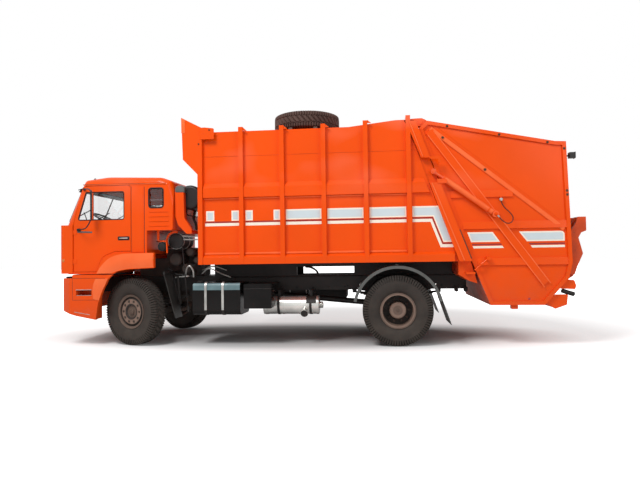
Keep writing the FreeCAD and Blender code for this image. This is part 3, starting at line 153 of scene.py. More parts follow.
def mirrored(shape):
    """A shape with its Y turned round; its faces are turned outwards again when it is put."""
    return shape[0] * (1, -1, 1), shape[1]


def both(*shapes):
    """Shapes drawn on the left side, with their mirror images on the right."""
    left = join(*shapes)
    return join(left, mirrored(left))


def on_side(side, *shapes):
    """Shapes drawn on the left side, set on the side asked for."""
    left = join(*shapes)
    return left if side == "left" else mirrored(left)


def steered(side, shape):
    """A front wheel's shape turned about its kingpin to the way it is parked."""
    pin = np.array([FRONT_X, -KINGPIN_Y if side == "left" else KINGPIN_Y, 0.0])
    c, r = math.cos(STEER), math.sin(STEER)
    return (shape[0] - pin) @ np.array([[c, r, 0], [-r, c, 0], [0, 0, 1]]) + pin, shape[1]


def facing(direction):
    """Three unit axes as rows; the third is the direction."""
    third = unit(direction)
    other = np.array((0.0, 0.0, 1.0) if abs(third[2]) < 0.9 else (1.0, 0.0, 0.0))
    first = unit(np.cross(other, third))
    return np.stack([first, np.cross(third, first), third])


def many(shape, places, direction=(0, 0, 1)):
    """Copies of a small shape at many places, its own Z turned to the direction."""
    verts, faces = shape
    places = np.atleast_2d(np.asarray(places, float))
    spots = places[:, None] + (verts @ facing(direction))[None]
    step = len(verts) * np.arange(len(places))[:, None, None]
    return spots.reshape(-1, 3), [(block[None] + step).reshape(-1, block.shape[1]) for block in faces]


def lifted(points, place, axis):
    """Flat points set at a place along an axis: x takes (y, z), y takes (x, z) and z takes (x, y)."""
    return np.insert(np.asarray(points, float), "xyz".index(axis), place, axis=1)


def rounded(corners, steps=5):
    """Closed outline through (a, b, radius) corners; a radius makes an arc tangent to the corner's sides."""
    spots = np.array([corner[:2] for corner in corners], float)
    back = unit(np.roll(spots, 1, 0) - spots)
    ahead = unit(np.roll(spots, -1, 0) - spots)
    share = np.linspace(0, 1, steps + 1)[:, None]
    points = []
    for spot, b, a, corner in zip(spots, back, ahead, corners):
        radius = corner[2] if len(corner) > 2 else 0
        if not radius:
            points.append(spot[None])
            continue
        half = math.acos(float(np.clip(b @ a, -1, 1))) / 2
        centre = spot + unit(b + a) * radius / math.sin(half)
        start = spot + b * radius / math.tan(half) - centre
        end = spot + a * radius / math.tan(half) - centre
        turn = math.pi - 2 * half
        points.append(centre + (np.sin((1 - share) * turn) * start + np.sin(share * turn) * end)
                      / math.sin(turn))
    return np.concatenate(points)


def box_outline(a0, a1, b0, b1, radius=0.0):
    """Outline of a rectangle, its four corners rounded by a radius."""
    return rounded([(a0, b0, radius), (a1, b0, radius), (a1, b1, radius), (a0, b1, radius)])


def drawn_in(outline, edge):
    """The outline moved inwards by an edge's width, each corner along the mean of its two sides' normals."""
    ahead = unit(np.roll(outline, -1, 0) - outline)
    back = np.roll(ahead, 1, 0)
    a, b = outline[:, 0], outline[:, 1]
    turn = np.sign(np.sum(a * np.roll(b, -1) - b * np.roll(a, -1)))
    sides = [np.stack([-way[:, 1], way[:, 0]], 1) * turn for way in (ahead, back)]
    mean = unit(sides[0] + sides[1])
    return outline + mean * (edge / np.maximum(np.sum(mean * sides[0], 1), 0.3))[:, None]


def slab(outline, low, high, axis="y", edge=0.002):
    """An outline carried from low to high along an axis, drawn in by the edge's width at both faces."""
    outline = np.asarray(outline, float)
    small = drawn_in(outline, edge)
    rows = ((small, low), (outline, low + edge), (outline, high - edge), (small, high))
    return loft([lifted(points, place, axis) for points, place in rows])


def rounded_slab(corners, low, high, axis="y", edge=0.002):
    """A slab whose outline goes through (a, b, radius) corners."""
    return slab(rounded(corners), low, high, axis, edge)


def block(low, high, edge=0.003):
    """A box between two corners with bevelled long edges."""
    return slab(box_outline(low[0], high[0], low[1], high[1], 0.0), low[2], high[2], "z", edge)


def bent_sheet(points, thickness, low, high, axis="y", edge=0.001):
    """A folded sheet: a line thickened to one side and carried from low to high along an axis."""
    line = np.asarray(points, float)
    ahead = unit(np.gradient(line, axis=0))
    side = np.stack([ahead[:, 1], -ahead[:, 0]], 1)
    return slab(np.concatenate([line, (line + side * thickness)[::-1]]), low, high, axis, edge)


def smooth(points, count=8):
    """A smooth line through the points: each stretch is a cubic that keeps its neighbours' direction."""
    points = np.asarray(points, float)
    line = np.concatenate([2 * points[:1] - points[1:2], points, 2 * points[-1:] - points[-2:-1]])
    t = np.linspace(0, 1, count, endpoint=False)[None, :, None]
    a, b, c, d = (line[i:len(line) - 3 + i, None] for i in range(4))
    run = 0.5 * (2 * b + (c - a) * t + (2 * a - 5 * b + 4 * c - d) * t ** 2
                 + (3 * b - a - 3 * c + d) * t ** 3)
    return np.concatenate([run.reshape(-1, points.shape[1]), points[-1:]])


def tube(path, radius, sides=10):
    """A round bar along a path: a circle across each point's direction; the radius may change along it."""
    path = np.asarray(path, float)
    ahead = unit(np.gradient(path, axis=0))
    flat = np.linalg.svd(path - path.mean(0))[2][2]
    across = unit(np.cross(ahead, flat))
    over = np.cross(across, ahead)
    turn = np.linspace(0, 2 * np.pi, sides, endpoint=False)[None, :, None]
    size = np.broadcast_to(radius, len(path))[:, None, None]
    return loft(path[:, None] + size * (across[:, None] * np.cos(turn) + over[:, None] * np.sin(turn)))


def smooth_tube(points, radius, count):
    """A round bar along the smooth line through the points."""
    return tube(smooth(points, count), radius)


def arc(centre, radius, angles):
    """Points on a circle in a plane, at the angles asked for."""
    return np.stack([centre[0] + radius * np.cos(angles), centre[1] + radius * np.sin(angles)], 1)


def strip(line, low, high):
    """Outline of a strip along a straight line, between two distances to the line's left."""
    way = unit(line[1] - line[0])
    over = np.array([-way[1], way[0]])
    return np.concatenate([line + low * over, (line + high * over)[::-1]])


def bead(outline, place, axis, radius, sides=8):
    """A round bar that follows a closed flat outline: circles across it, joined end to end."""
    path = lifted(outline, place, axis)
    ahead = unit(np.roll(path, -1, 0) - np.roll(path, 1, 0))
    over = np.eye(3)["xyz".index(axis)]
    across = np.cross(ahead, over)
    turn = np.linspace(0, 2 * np.pi, sides, endpoint=False)[None, :, None]
    return loft(path[:, None] + radius * (across[:, None] * np.cos(turn) + over * np.sin(turn)), closed=True)


def turned(profile, centre, axis="y", steps=40, closed=False):
    """A profile of (distance along, radius) points turned about an axis through a centre."""
    profile = np.asarray(profile, float)
    turn = np.linspace(0, 2 * np.pi, steps, endpoint=False)
    along = np.broadcast_to(profile[:, :1], (len(profile), steps))
    a, b = profile[:, 1:] * np.cos(turn), profile[:, 1:] * np.sin(turn)
    order = {"x": (along, a, b), "y": (a, along, b), "z": (a, b, along)}[axis]
    return loft(np.stack(order, -1) + np.asarray(centre, float), closed)


def hoop(place, half, inner, outer, centre, axis, steps):
    """A flat band round an axis, with its place along the axis, half its width and its two radii."""
    section = [(place - half, inner), (place - half, outer), (place + half, outer), (place + half, inner)]
    return turned(section, centre, axis, steps, True)


def drum(start, end, radius, edge=0.004, sides=32):
    """A round bar between two points with bevelled ends."""
    start, end = np.asarray(start, float), np.asarray(end, float)
    way = unit(end - start) * edge
    path = np.stack([start, start + way, end - way, end])
    axes = facing(end - start)
    turn = np.linspace(0, 2 * np.pi, sides, endpoint=False)[:, None]
    size = np.array([radius - edge, radius, radius, radius - edge])[:, None, None]
    return loft(path[:, None] + size * (axes[0] * np.cos(turn) + axes[1] * np.sin(turn)))


def nut(radius, height, sides=6):
    """A short prism on its base with its top edge drawn in; six sides make a nut, many make a round head."""
    turn = np.linspace(0, 2 * np.pi, sides, endpoint=False)
    ring = np.stack([np.cos(turn), np.sin(turn), 0 * turn], 1)
    steps = ((1.0, 0.0), (1.0, 0.78), (0.82, 1.0))
    return loft([ring * (radius * size, radius * size, 0) + (0, 0, height * up) for size, up in steps])


def stud(radius, height):
    """A nut with a washer under it and the bolt's end standing out of it."""
    parts = [(nut(1.35 * radius, 0.2 * height, 16), 0.0), (nut(radius, 0.7 * height), 0.2 * height),
             (nut(0.5 * radius, 0.35 * height, 10), 0.85 * height)]
    return join(*[(verts + (0, 0, up), faces) for (verts, faces), up in parts])


def row_of(start, end, count):
    """Evenly spaced places from a start to an end."""
    return np.linspace(start, end, count)


def ring_of(centre, radius, count, axis="y", phase=0.0):
    """Evenly spaced places round a circle."""
    turn = np.linspace(0, 2 * np.pi, count, endpoint=False) + phase
    flat = np.stack([radius * np.cos(turn), radius * np.sin(turn)], 1)
    return lifted(flat, 0.0, axis) + np.asarray(centre, float)


# ---------------------------------------------------------------- pieces
FINISHES = {}


def put(name, shape, finish, body, replaces=(), crease=32.0):
    """A new piece: doubles merged, faces outwards, edges sharp where they turn past the crease's degrees."""
    verts, faces = shape
    mesh = bpy.data.meshes.new(name)
    mesh.from_pydata(verts, [], [face for group in faces for face in group.tolist()])
    work = bmesh.new()
    work.from_mesh(mesh)
    bmesh.ops.remove_doubles(work, verts=work.verts, dist=1e-6)
    bmesh.ops.recalc_face_normals(work, faces=work.faces)
    work.to_mesh(mesh)
    work.free()
    mesh.shade_smooth()
    mesh.set_sharp_from_angle(angle=math.radians(crease))
    mesh.materials.append(FINISHES[finish])
    piece = bpy.data.objects.new(name, mesh)
    bpy.context.scene.collection.objects.link(piece)
    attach(piece, body)
    if replaces:
        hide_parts(*replaces)
    return piece


# ---------------------------------------------------------------- finishes
class Finish:
    """A node material being made, with a method for each kind of pattern that the finishes share."""

    def __init__(self, name):
        self.material = bpy.data.materials.new(name)
        self.material.use_nodes = True
        self.tree = self.material.node_tree
        self.shader = self.tree.nodes["Principled BSDF"]
        self.place = self.add("ShaderNodeTexCoord").outputs["Object"]

    def add(self, kind, **settings):
        """A new node with its settings."""
        made = self.tree.nodes.new(kind)
        for key, value in settings.items():
            setattr(made, key, value)
        return made

    def wire(self, output, socket):
        """A number or colour set in a socket, or another node's output joined to it."""
        if isinstance(output, (int, float, tuple)):
            socket.default_value = output
        else:
            self.tree.links.new(output, socket)

    def span(self, value, low, high, out_low=0.0, out_high=1.0):
        """A value's range from low to high, brought to another range and held inside it."""
        ranged = self.add("ShaderNodeMapRange")
        for socket, number in zip(("From Min", "From Max", "To Min", "To Max"),
                                  (low, high, out_low, out_high)):
            ranged.inputs[socket].default_value = number
        self.wire(value, ranged.inputs["Value"])
        return ranged.outputs["Result"]

    def noise(self, scale, detail=3.0, stretch=(1.0, 1.0, 1.0), shift=(0.0, 0.0, 0.0)):
        """Cloudy noise over the object's own place."""
        mapping = self.add("ShaderNodeMapping")
        mapping.inputs["Scale"].default_value = stretch
        mapping.inputs["Location"].default_value = shift
        self.wire(self.place, mapping.inputs["Vector"])
        cloud = self.add("ShaderNodeTexNoise")
        cloud.inputs["Scale"].default_value = scale
        cloud.inputs["Detail"].default_value = detail
        self.wire(mapping.outputs["Vector"], cloud.inputs["Vector"])
        return cloud.outputs["Fac"]

    def product(self, a, b):
        """Two values multiplied."""
        times = self.add("ShaderNodeMath", operation="MULTIPLY")
        self.wire(a, times.inputs[0])
        self.wire(b, times.inputs[1])
        return times.outputs["Value"]

    def mix(self, factor, a, b):
        """One colour laid over another by a factor."""
        mixed = self.add("ShaderNodeMix", data_type="RGBA")
        self.wire(factor, mixed.inputs[0])
        for index, tint in ((6, a), (7, b)):
            self.wire(tuple(tint) + (1.0,) if isinstance(tint, (tuple, list)) else tint, mixed.inputs[index])
        return mixed.outputs[2]

    def banded(self, centre, turn, stops):
        """Colours by the distance from an axle, whose centre and turn from the Y axis are given."""
        moved = self.add("ShaderNodeMapping", vector_type="TEXTURE")
        moved.inputs["Location"].default_value = centre
        moved.inputs["Rotation"].default_value = (0.0, 0.0, turn)
        moved.inputs["Scale"].default_value = (1.0, 1.0, 1.0)
        self.wire(self.place, moved.inputs["Vector"])
        flat = self.add("ShaderNodeVectorMath", operation="MULTIPLY")
        self.wire(moved.outputs["Vector"], flat.inputs[0])
        flat.inputs[1].default_value = (1.0, 0.0, 1.0)
        far = self.add("ShaderNodeVectorMath", operation="LENGTH")
        self.wire(flat.outputs["Vector"], far.inputs[0])
        reach = stops[-1][0]
        ramp = self.add("ShaderNodeValToRGB")
        self.wire(self.span(far.outputs["Value"], 0.0, reach), ramp.inputs["Fac"])
        for index, (radius, tint) in enumerate(stops):
            marks = ramp.color_ramp.elements
            mark = marks[index] if index < 2 else marks.new(radius / reach)
            mark.position, mark.color = radius / reach, tuple(tint) + (1.0,)
        return ramp.outputs["Color"]

    def height(self):
        """Height above the ground."""
        split = self.add("ShaderNodeSeparateXYZ")
        self.wire(self.place, split.inputs["Vector"])
        return split.outputs["Z"]

    def bump(self, value, strength, distance):
        """Relief by a value, laid on the relief that is already there."""
        relief = self.add("ShaderNodeBump")
        relief.inputs["Strength"].default_value = strength
        relief.inputs["Distance"].default_value = distance
        self.wire(value, relief.inputs["Height"])
        normal = self.shader.inputs["Normal"]
        if normal.is_linked:
            self.wire(normal.links[0].from_socket, relief.inputs["Normal"])
        self.wire(relief.outputs["Normal"], normal)

    def sockets(self, **values):
        """Plain values of the shader's sockets, by their names with _ for a space."""
        for name, value in values.items():
            self.shader.inputs[name.replace("_", " ")].default_value = value


def weathered(name, base, worn, mottle=2.5, rough=(0.4, 0.6), dust=None, dust_span=(2.4, 0.2),
              dust_most=0.5, rust=0.0, grain=(90.0, 0.15, 0.0006), waves=None, painted_sheen=None,
              bands=None, **sockets):
    """A paint, rubber or metal: two shades in clouds, dust that thickens downwards, rust in specks, relief.

    base and worn are the two shades, mottle the clouds' scale, rough the lowest and highest roughness.
    dust is its colour, dust_span the heights where it begins and where dust_most of it lies.
    rust is the share of specks; grain and waves are (scale, strength, distance) of fine and broad relief.
    The sheen colour is a paler shade painted in broad patches on the upper half: a painted reflection.
    bands are (centre, turn, stops) of colours by the distance from an axle.
    """
    made = Finish(name)
    clouds = made.noise(mottle, 4.0)
    tint = made.mix(made.span(clouds, 0.35, 0.68), tuple(base), tuple(worn))
    roughness = made.span(clouds, 0.3, 0.7, *rough)
    if bands:
        tint = made.mix(made.span(clouds, 0.3, 0.75, 0.0, 0.35), made.banded(*bands), tuple(worn))
    # painted reflection: paler patches over the upper half of the surface
    if painted_sheen is not None:
        broad = made.span(made.noise(0.75, 2.0, (1.0, 1.0, 1.6), (4.0, 2.0, 0.6)), 0.5, 0.66)
        tint = made.mix(made.product(broad, made.span(made.height(), 2.1, 3.1, 0.0, 0.75)), tint,
                        tuple(painted_sheen))
    if dust is not None:
        patches = made.span(made.noise(5.5, 6.0, shift=(3.0, 1.0, 2.0)), 0.32, 0.66, 0.25, 1.0)
        cover = made.product(patches, made.span(made.height(), *dust_span, 0.0, dust_most))
        tint = made.mix(cover, tint, tuple(dust))
        roughness = made.span(cover, 0.0, 1.0, rough[0], 0.95)
    if rust:
        specks = made.span(made.noise(38.0, 5.0, shift=(7.0, 2.0, 5.0)), 0.735 - rust, 0.755 - rust)
        tint = made.mix(specks, tint, (0.1, 0.03, 0.012))
    made.wire(tint, made.shader.inputs["Base Color"])
    made.wire(roughness, made.shader.inputs["Roughness"])
    if waves:
        made.bump(made.noise(waves[0], 1.5), waves[1], waves[2])
    made.bump(made.noise(grain[0], 3.0), grain[1], grain[2])
    made.sockets(**sockets)
    return made.material


def pane(name, tint, rough):
    """Clear glass with a faint film of dust."""
    made = Finish(name)
    film = made.span(made.noise(6.0, 4.0), 0.4, 0.75, rough, rough + 0.02)
    made.wire(film, made.shader.inputs["Roughness"])
    made.wire(made.mix(made.span(made.noise(3.0), 0.3, 0.7), tint, tuple(0.96 * c for c in tint)),
              made.shader.inputs["Base Color"])
    made.bump(made.noise(1.2, 1.0), 0.05, 0.002)
    made.sockets(Transmission_Weight=1.0, IOR=1.45)
    return made.material


def lens(name, tint):
    """Ribbed coloured plastic of a lamp."""
    made = Finish(name)
    made.wire(made.mix(made.span(made.noise(9.0), 0.3, 0.7), tint, tuple(0.7 * c for c in tint)),
              made.shader.inputs["Base Color"])
    made.wire(made.span(made.noise(14.0), 0.3, 0.7, 0.08, 0.2), made.shader.inputs["Roughness"])
    ribs = made.add("ShaderNodeTexWave", wave_type="BANDS", bands_direction="DIAGONAL")
    ribs.inputs["Scale"].default_value = 60.0
    made.wire(made.place, ribs.inputs["Vector"])
    made.bump(ribs.outputs["Fac"], 0.5, 0.001)
    made.sockets(Coat_Weight=0.6, Coat_Roughness=0.05)
    return made.material


def woven(name, tint):
    """Coarse cloth: two crossed sets of bands give the weave."""
    made = Finish(name)
    shade = made.mix(made.span(made.noise(7.0, 5.0), 0.35, 0.65), tint, tuple(1.7 * c for c in tint))
    made.wire(shade, made.shader.inputs["Base Color"])
    made.wire(made.span(made.noise(20.0), 0.3, 0.7, 0.8, 0.95), made.shader.inputs["Roughness"])
    for direction in ("X", "Z"):
        threads = made.add("ShaderNodeTexWave", wave_type="BANDS", bands_direction=direction)
        threads.inputs["Scale"].default_value = 120.0
        made.wire(made.place, threads.inputs["Vector"])
        made.bump(threads.outputs["Fac"], 0.4, 0.0008)
    made.sockets(Sheen_Weight=0.3)
    return made.material


def wheel_centre(side):
    """Centre of a parked front wheel, turned about its kingpin from its place straight beside it."""
    sign = -1.0 if side == "left" else 1.0
    out = sign * (FRONT_Y - KINGPIN_Y)
    return FRONT_X - out * math.sin(STEER), sign * KINGPIN_Y + out * math.cos(STEER), WHEEL_Z


def shade(tint, factor):
    """A colour made darker or lighter by a factor."""
    return tuple(min(1.0, factor * c) for c in tint)


class TRUCK_OT_finishes(bpy.types.Operator):
    """Makes every finish and lays it on the pieces that come from the model"""
    bl_idname = "truck.finishes"
    bl_label = "Finishes"

    def execute(self, context):
        tints = context.scene.truck_colours
        body, black, dust, steel = (tuple(getattr(tints, key))
                                    for key in ("body", "chassis", "dust", "steel"))
        tyre, rim = tuple(tints.tyre), tuple(tints.rim)
        pale, cream, line = tuple(tints.stripe_pale), tuple(tints.stripe_cream), tuple(tints.stripe_line)
        gloss = {"Specular_IOR_Level": 0.14}
        light, dark, flange = shade(rim, 2.0), shade(black, 1.5), shade(rim, 1.15)
        front_bands = ((0.0, rim), (0.09, rim), (0.1, dark), (0.124, dark), (0.134, light), (0.196, light),
                       (0.206, dark), (0.236, dark), (0.243, flange), (0.3, flange))
        rear_bands = ((0.0, flange), (0.07, flange), (0.078, light), (0.128, light), (0.137, dark),
                      (0.226, dark), (0.232, light), (0.252, light), (0.258, flange), (0.3, flange))
        rod_bands = ((0.0, body), (0.168, body), (0.17, (0.5, 0.53, 0.54)), (1.2, (0.5, 0.53, 0.54)))
        guard = (0.105, 0.112, 0.108)
        guard_bands = ((0.0, guard), (0.98, guard), (1.03, black), (1.8, black))
        dull = {"Specular_IOR_Level": 0.25}
        wheel = (rim, shade(rim, 0.45), 9.0, (0.6, 0.85), dust, (1.6, -0.9))
        grit = (60.0, 0.5, 0.0012)
        film = (3.0, (0.25, 0.4), dust, (2.6, 0.4))
        fine = (220.0, 0.1, 0.0002)
        FINISHES.update({
            # the body paint's last colour is its sheen: a painted reflection in pale patches on the upper
            # half
            "orange": weathered("orange_paint", body, shade(body, 0.93), 1.1, (0.2, 0.32), dust,
                (1.5, -0.6), 0.3, 0.0, (160.0, 0.05, 0.0004), (1.3, 0.3, 0.01),
                (0.871, 0.156, 0.07), **gloss),
            # darker worn orange, also laid on the weld seams as a painted shadow line
            "orange_worn_and_seam_shade": weathered("orange_worn_and_seam_shade", shade(body, 0.85), shade(body, 0.6), 3.0, (0.35, 0.6),
                dust, (2.2, -0.2), 0.5, 0.06, (80.0, 0.2, 0.0008), (2.0, 0.25, 0.008), **dull),
            # paler orange painted as highlights along edges, folds, flares, flanges and the lift barrels
            "orange_painted_highlight": weathered("orange_edges_painted_highlight", (0.9, 0.16, 0.045), (0.86, 0.12, 0.025), 2.0,
                (0.25, 0.4), dust, (1.5, -0.6), 0.25, 0.0, (160.0, 0.05, 0.0004), **gloss),
            "black": weathered("frame_paint", black, shade(black, 1.8), 3.0, (0.42, 0.65), dust,
                (2.2, -0.4), 0.16, 0.01, (70.0, 0.25, 0.0008), **dull),
            "plastic": weathered("black_plastic", shade(black, 1.6), shade(black, 2.6), 2.0, (0.38, 0.55),
                dust, (3.0, -0.5), 0.1, 0.0, (220.0, 0.25, 0.0004), **dull),
            # the dark rubber also paints the shade inside the exhaust's mouth and in the door handles'
            # pockets
            "rubber": weathered("seal_rubber_and_painted_shade", shade(black, 0.9), shade(black, 1.8), 4.0, (0.6, 0.8), dust,
                (3.0, -0.5), 0.15, 0.0, (120.0, 0.15, 0.0005), **dull),
            "tyre": weathered("tyre_rubber", tyre, shade(tyre, 1.5), 3.0, (0.75, 0.92), dust, (1.6, -0.9),
                0.42, 0.0, (140.0, 0.4, 0.001), **dull),
            "tyre_clean": weathered("spare_rubber", (0.06, 0.031, 0.025), (0.095, 0.05, 0.04), 3.0,
                (0.6, 0.8), dust, (5.5, 1.0), 0.25, 0.0, (140.0, 0.4, 0.001), **dull),
            "rim": weathered("wheel_paint", *wheel, 0.55, 0.03, grit, **dull),
            "rim_left": weathered("front_wheel_left", *wheel, 0.35, 0.02, grit, bands=(wheel_centre("left"),
                STEER, front_bands), **dull),
            "rim_right": weathered("front_wheel_right", *wheel, 0.35, 0.02, grit,
                bands=(wheel_centre("right"), STEER, front_bands), **dull),
            "rim_rear": weathered("rear_wheels", *wheel, 0.35, 0.02, grit, bands=((REAR_X, 0.0, WHEEL_Z),
                0.0, rear_bands), **dull),
            "rod": weathered("rod_steel", steel, (0.62, 0.14, 0.05), 5.0, (0.15, 0.3), None,
                grain=(150.0, 0.1, 0.0003), bands=((LIFT_EYE[0], 0.0, LIFT_EYE[1]), 0.0, rod_bands)),
            # pale blue-grey painted reflection for the strip on the fuel tank's rounded upper corner
            "tank_band": weathered("tank_sheen", (0.15, 0.235, 0.25), (0.1, 0.16, 0.175), 5.0, (0.25, 0.4),
                None, grain=(90.0, 0.2, 0.0006), **dull),
            "cast": weathered("cast_metal", shade(black, 3.0), shade(rim, 0.5), 6.0, (0.6, 0.85), dust,
                (1.8, -0.3), 0.5, 0.05, (45.0, 0.6, 0.0015), **dull),
            "silver": weathered("silencer_steel", shade(steel, 1.9), shade(steel, 1.2), 4.0, (0.22, 0.42),
                shade(dust, 1.6), (1.6, -1.0), 0.15, 0.01, (60.0, 0.3, 0.0008), Metallic=0.75),
            # bright zinc, also laid on a strip painted as a highlight along the bumper's lower recess
            "zinc": weathered("zinc_steel_and_painted_highlight", shade(steel, 1.3), shade(steel, 0.8), 8.0, (0.3, 0.5),
                shade(dust, 1.6), (2.4, -1.0), 0.25, 0.02, (90.0, 0.3, 0.0006), Metallic=0.6),
            "chrome": weathered("bright_steel", shade(steel, 1.7), shade(steel, 1.3), 5.0, (0.1, 0.22),
                shade(dust, 1.6), (3.0, -1.0), 0.1, 0.0, (150.0, 0.1, 0.0003), Metallic=1.0),
            "guard": weathered("guard_plastic", guard, shade(guard, 0.65), 5.0, (0.35, 0.55), dust,
                (1.6, -0.6), 0.45, 0.0, (90.0, 0.3, 0.0008), Specular_IOR_Level=0.4),
            "mudguard": weathered("mudguard_plastic", guard, shade(guard, 0.65), 5.0, (0.35, 0.55), dust,
                (1.6, -0.6), 0.3, 0.0, (90.0, 0.3, 0.0008), Specular_IOR_Level=0.3,
                bands=((REAR_X, 0.0, WHEEL_Z), 0.0, guard_bands)),
            "tank": weathered("tank_paint", shade(black, 0.5), shade(black, 1.1), 2.5, (0.2, 0.34), dust,
                (1.4, -0.4), 0.04, 0.0, (90.0, 0.15, 0.0006), (1.6, 0.2, 0.006), Specular_IOR_Level=0.15),
            "interior": weathered("interior_plastic", shade(black, 1.7), shade(black, 2.8), 3.0, (0.5, 0.7),
                None, grain=(260.0, 0.3, 0.0004), **dull),
            "hose": weathered("hose_rubber", (0.045, 0.016, 0.01), (0.02, 0.012, 0.01), 9.0, (0.45, 0.6),
                None, grain=(300.0, 0.3, 0.0004), **dull),
            "pale": weathered("stripe_pale", pale, shade(pale, 0.93), *film, 0.12, grain=fine, **dull),
            "cream": weathered("stripe_cream", cream, shade(cream, 0.94), *film, 0.1, grain=fine, **dull),
            "line": weathered("stripe_line", line, shade(line, 0.85), *film, 0.1, grain=fine, **dull),
            "rust": weathered("rusty_steel", (0.11, 0.045, 0.022), (0.055, 0.03, 0.02), 20.0, (0.7, 0.9),
                None, grain=(90.0, 0.6, 0.0012), **dull),
            "glass": pane("window_glass", (0.985, 0.99, 0.99), 0.0),
            "clear": pane("lamp_glass", (0.95, 0.96, 0.97), 0.02),
            "red": lens("red_lens", tuple(tints.lens_red)),
            "amber": lens("amber_lens", tuple(tints.lens_amber)),
            "cloth": woven("seat_cloth", tuple(tints.seat)),
        })
        for finish, nodes in NODE_FINISHES.items():
            for name in nodes:
                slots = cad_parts[name].data.materials
                slots.clear()
                slots.append(FINISHES[finish])
        return {"FINISHED"}


NODE_FINISHES = {
    "orange": ("body_hoops", "body_panels", "body_sides", "cab_panels", "cab_shell", "door_left",
        "door_right", "front_bumper", "gate_cover", "gate_frame", "gate_sides", "intake_duct",
        "rear_frame"),
    # the lift barrels get the paler orange of painted highlights
    "orange_painted_highlight": ("lift_barrel_left", "lift_barrel_right"),
    "orange_worn_and_seam_shade": ("bin_lifter", "gate_hopper", "packer_blade", "packer_carriage"),
    "black": ("brackets", "chassis_frame", "sub_frame", "driveshaft", "leaf_springs", "side_tanks"),
    "cast": ("engine", "front_axle", "knuckle_left", "knuckle_right", "rear_axle"),
    "tank": ("fuel_tank", "battery_box"),
    "plastic": ("air_filter", "intake_drum", "mirror_left", "mirror_right", "gate_lamps"),
    "interior": ("dashboard", "seats"),
    "rim": ("spare_carrier",),
    "rim_left": ("rim_front_left",),
    "rim_right": ("rim_front_right",),
    "rim_rear": ("rims_rear_left", "rims_rear_right"),
    "tyre": ("tyre_front_left", "tyre_front_right", "tyres_rear_left", "tyres_rear_right", "spare_tyre"),
    "mudguard": ("mudguards",),
    "silver": ("silencer",),
    "rod": ("lift_rod_left", "lift_rod_right"),
    "hose": ("hose_gate_left", "hose_gate_right"),
    "glass": ("cab_glass", "door_glass_left", "door_glass_right"),
    "clear": ("head_lamps",),
}


# ---------------------------------------------------------------- stage
CAMERA_PLACE = (1.07, -9.66, 1.41)
CAMERA_YAW, CAMERA_PITCH, CAMERA_ROLL = 6.0, 1.6, -0.85  # degrees: to the left, upwards, clockwise
CAMERA_LENS, CAMERA_SENSOR = 30.9, 36.0  # millimetres
FLOOR_HALF = 60.0
FLOOR_FADE = (4.8, 10.0)             # distance from the truck over which the floor turns to plain white
FLOOR_GLOW = 0.42                    # its own brightness beside the truck, fading to none under it: part of the painted shadow
PAINTED_SHADOW_SCALE = (0.25, 0.62, 1.0)      # one over the half length and half width of the ground under the truck, where the shadow is painted
FLOOR_TINT, FLOOR_PAINTED_SHADOW = (0.86, 0.86, 0.86), (0.42, 0.41, 0.41)  # beside the truck, and darker under its middle as a painted shadow
PAINTED_SHADOW_SHIFT = (0.125, 0.0, 0.0)      # moves the middle of that ground and its painted shadow towards the cab
LAMPS = (                            # name, place, size, power, aimed at
    ("key", (-4.0, -8.0, 11.0), 4.5, 1050.0, (0.0, 0.0, 1.6)),
    ("fill", (7.5, -8.0, 5.5), 6.0, 220.0, (0.5, 0.0, 1.5)),
)


